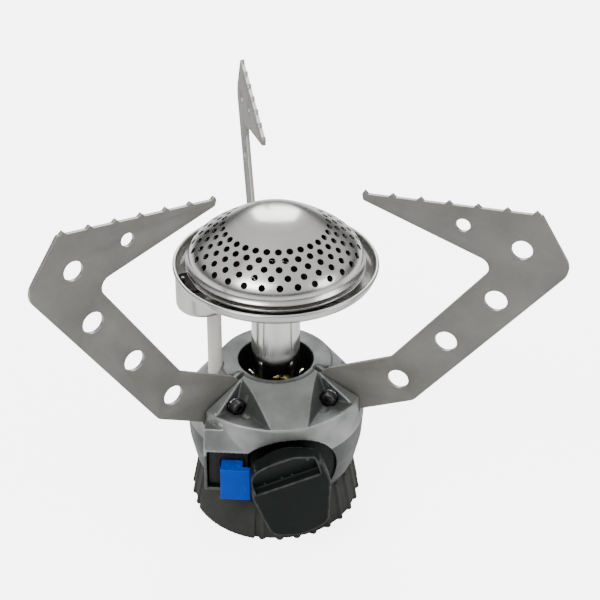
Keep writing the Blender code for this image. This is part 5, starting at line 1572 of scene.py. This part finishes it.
def make_electrode():
    stand = Matrix.Translation(ELECTRODE)
    top, foot, pin = POCKET_FLOOR + 3.6 * MM, CAVITY_TOP - 1.6 * MM, 0.6 * MM
    ceramic = lathe(
        "glazed_tube",
        [
            (pin + GAP, top, 0.2 * MM),
            (CERAMIC_RADIUS, top, 0.7 * MM),
            (CERAMIC_RADIUS, foot, 0.3 * MM),
            (pin + GAP, foot),
        ],
        steps=96,
        place=stand,
    )
    stands_for(ceramic, "electrode_ceramic", CERAMIC)
    tip = polar(DOME_RADIUS + 1.9 * MM, 188.0, 0)
    route = [
        ELECTRODE + UP * (foot - 2.0 * MM),
        ELECTRODE + UP * (top + 0.4 * MM),
        ELECTRODE + UP * (top + 1.6 * MM),
        ELECTRODE.lerp(tip, 0.12) + UP * (top + 2.0 * MM),
        ELECTRODE.lerp(tip, 0.85) + UP * (top + 3.4 * MM),
        tip + UP * (top + 4.2 * MM),
        tip + UP * (top + 5.2 * MM),
        tip + UP * (RIM - 1.0 * MM),
    ]
    stands_for(wire("electrode_wire", route, pin), "electrode_pin", WIRE_STEEL)
    clip = lathe(
        "spring_clip",
        [
            (CERAMIC_RADIUS + GAP, CAVITY_TOP - GAP, 0.15 * MM),
            (CERAMIC_RADIUS + 1.5 * MM, CAVITY_TOP - GAP, 0.2 * MM),
            (CERAMIC_RADIUS + 1.5 * MM, CAVITY_TOP - GAP - 0.8 * MM, 0.2 * MM),
            (CERAMIC_RADIUS + GAP, CAVITY_TOP - GAP - 0.8 * MM, 0.15 * MM),
        ],
        steps=64,
        place=stand,
        arc=2,
    )
    stands_for(clip, "electrode_clip", DARK_STEEL)


make_frame_and_button()
make_spring()
make_electrode()

# %% [markdown]
# The rest is brass, mostly seen through the windows in the tube and from below: the jet, the nut that holds
# the valve in the housing, and the threaded socket that the cartridge screws into.

# %% Brass parts
VALVE_NUT_RADIUS = 12.2 * MM
NECK_TOP = BORE_FLOOR + 3.8 * MM
JET_TOP, JET_THREAD, SEAL_RADIUS, INLET_RADIUS = 41.6 * MM, 2.6 * MM, 8.6 * MM, 13.5 * MM
SOCKET_TOP, SOCKET_ROOF = HOUSING_BOTTOM - GAP, HOUSING_BOTTOM - GAP - COLLAR_ROOF


def make_valve_nut():
    low, high = BORE_FLOOR + GAP, BORE_FLOOR + NUT_HEIGHT
    nut = rod("brass_nut", VALVE_NUT_RADIUS, (0, 0, low), (0, 0, high), 6)
    reach = VALVE_NUT_RADIUS + 0.05 * MM
    corners = [(0, high), (reach, high, 0.8 * MM), (reach, low, 0.4 * MM), (0, low)]
    combine(nut, [lathe("crown", corners, steps=64)], "INTERSECT")
    cut(nut, rod("bore", NECK_RADIUS + GAP, (0, 0, low - MM), (0, 0, high + MM), 64))
    bevel(nut, 0.12 * MM, 1)
    return stands_for(nut, "valve_nut", BRASS)


def make_jet():
    jet = lathe(
        "turned_jet",
        [
            (0.35 * MM, JET_TOP),
            (1.5 * MM, JET_TOP, 0.2 * MM),
            (2.0 * MM, JET_TOP - 2.0 * MM, 0.3 * MM),
            (JET_THREAD, JET_TOP - 2.6 * MM, 0.3 * MM),
            (JET_THREAD, NECK_TOP - 3.0 * MM),
            (0.8 * MM, NECK_TOP - 3.0 * MM),
            (0.8 * MM, JET_TOP - 1.0 * MM),
            (0.35 * MM, JET_TOP - 0.8 * MM),
        ],
        steps=64,
    )
    flats = rod("flats", 4.6 * MM, (0, 0, NECK_TOP + GAP), (0, 0, NECK_TOP + 2.6 * MM), 6)
    cut(flats, rod("core", 2.0 * MM, (0, 0, 0), (0, 0, HOUSING_TOP), 32))
    join(jet, flats)
    bevel(jet, 0.1 * MM, 1)
    return stands_for(jet, "gas_jet", BRASS)


def make_socket():
    """The threaded ring that a cartridge screws into."""
    roof, top = SOCKET_ROOF, 2.9 * MM
    ring = lathe(
        "threaded_socket",
        [
            (SEAL_RADIUS + 0.9 * MM, SOCKET_TOP + 0.2 * MM),
            (INLET_RADIUS, SOCKET_TOP + 0.2 * MM, 0.3 * MM),
            (INLET_RADIUS, roof - GAP),
            (INLET_RADIUS + 2.4 * MM, roof - GAP, 0.3 * MM),
            (INLET_RADIUS + 2.4 * MM, roof - 2.2 * MM, 0.4 * MM),
            (INLET_RADIUS + 0.4 * MM, roof - 3.6 * MM, 0.6 * MM),
            (SEAL_RADIUS - 1.0 * MM, roof - 3.6 * MM, 0.2 * MM),
            (SEAL_RADIUS - 1.0 * MM, top - 2.5 * MM),
            (SEAL_RADIUS + 0.9 * MM, top - 2.5 * MM),
        ],
        steps=128,
    )
    return stands_for(ring, "inlet_socket", BRASS)


make_valve_nut()
make_jet()
make_socket()

# %% [markdown]
# The parts inside the valve and the collar are hardly seen. Their shapes from the working model are good
# enough, so each only takes a finish in every material slot that it has.

# %% Parts that keep their shape
KEPT = {
    "valve_body": BRASS,
    "inlet_pin": BRASS,
    "gland_nut": BRASS,
    "valve_spindle": BRASS,
    "inlet_seal": RUBBER,
    "spindle_o_ring": RUBBER,
    "ignition_lead": RUBBER,
    "piezo_igniter": FRAME_BLACK,
    "cartridge_lock_ring": PAN_SHEET,
    "collar_screw_1": DARK_STEEL,
    "collar_screw_2": DARK_STEEL,
    "collar_screw_3": DARK_STEEL,
}
for name, material in KEPT.items():
    node = frame["nodes"][name]
    for spot in node.material_slots:
        spot.material = material
print("finish given to", len(KEPT), "parts that keep their shape")
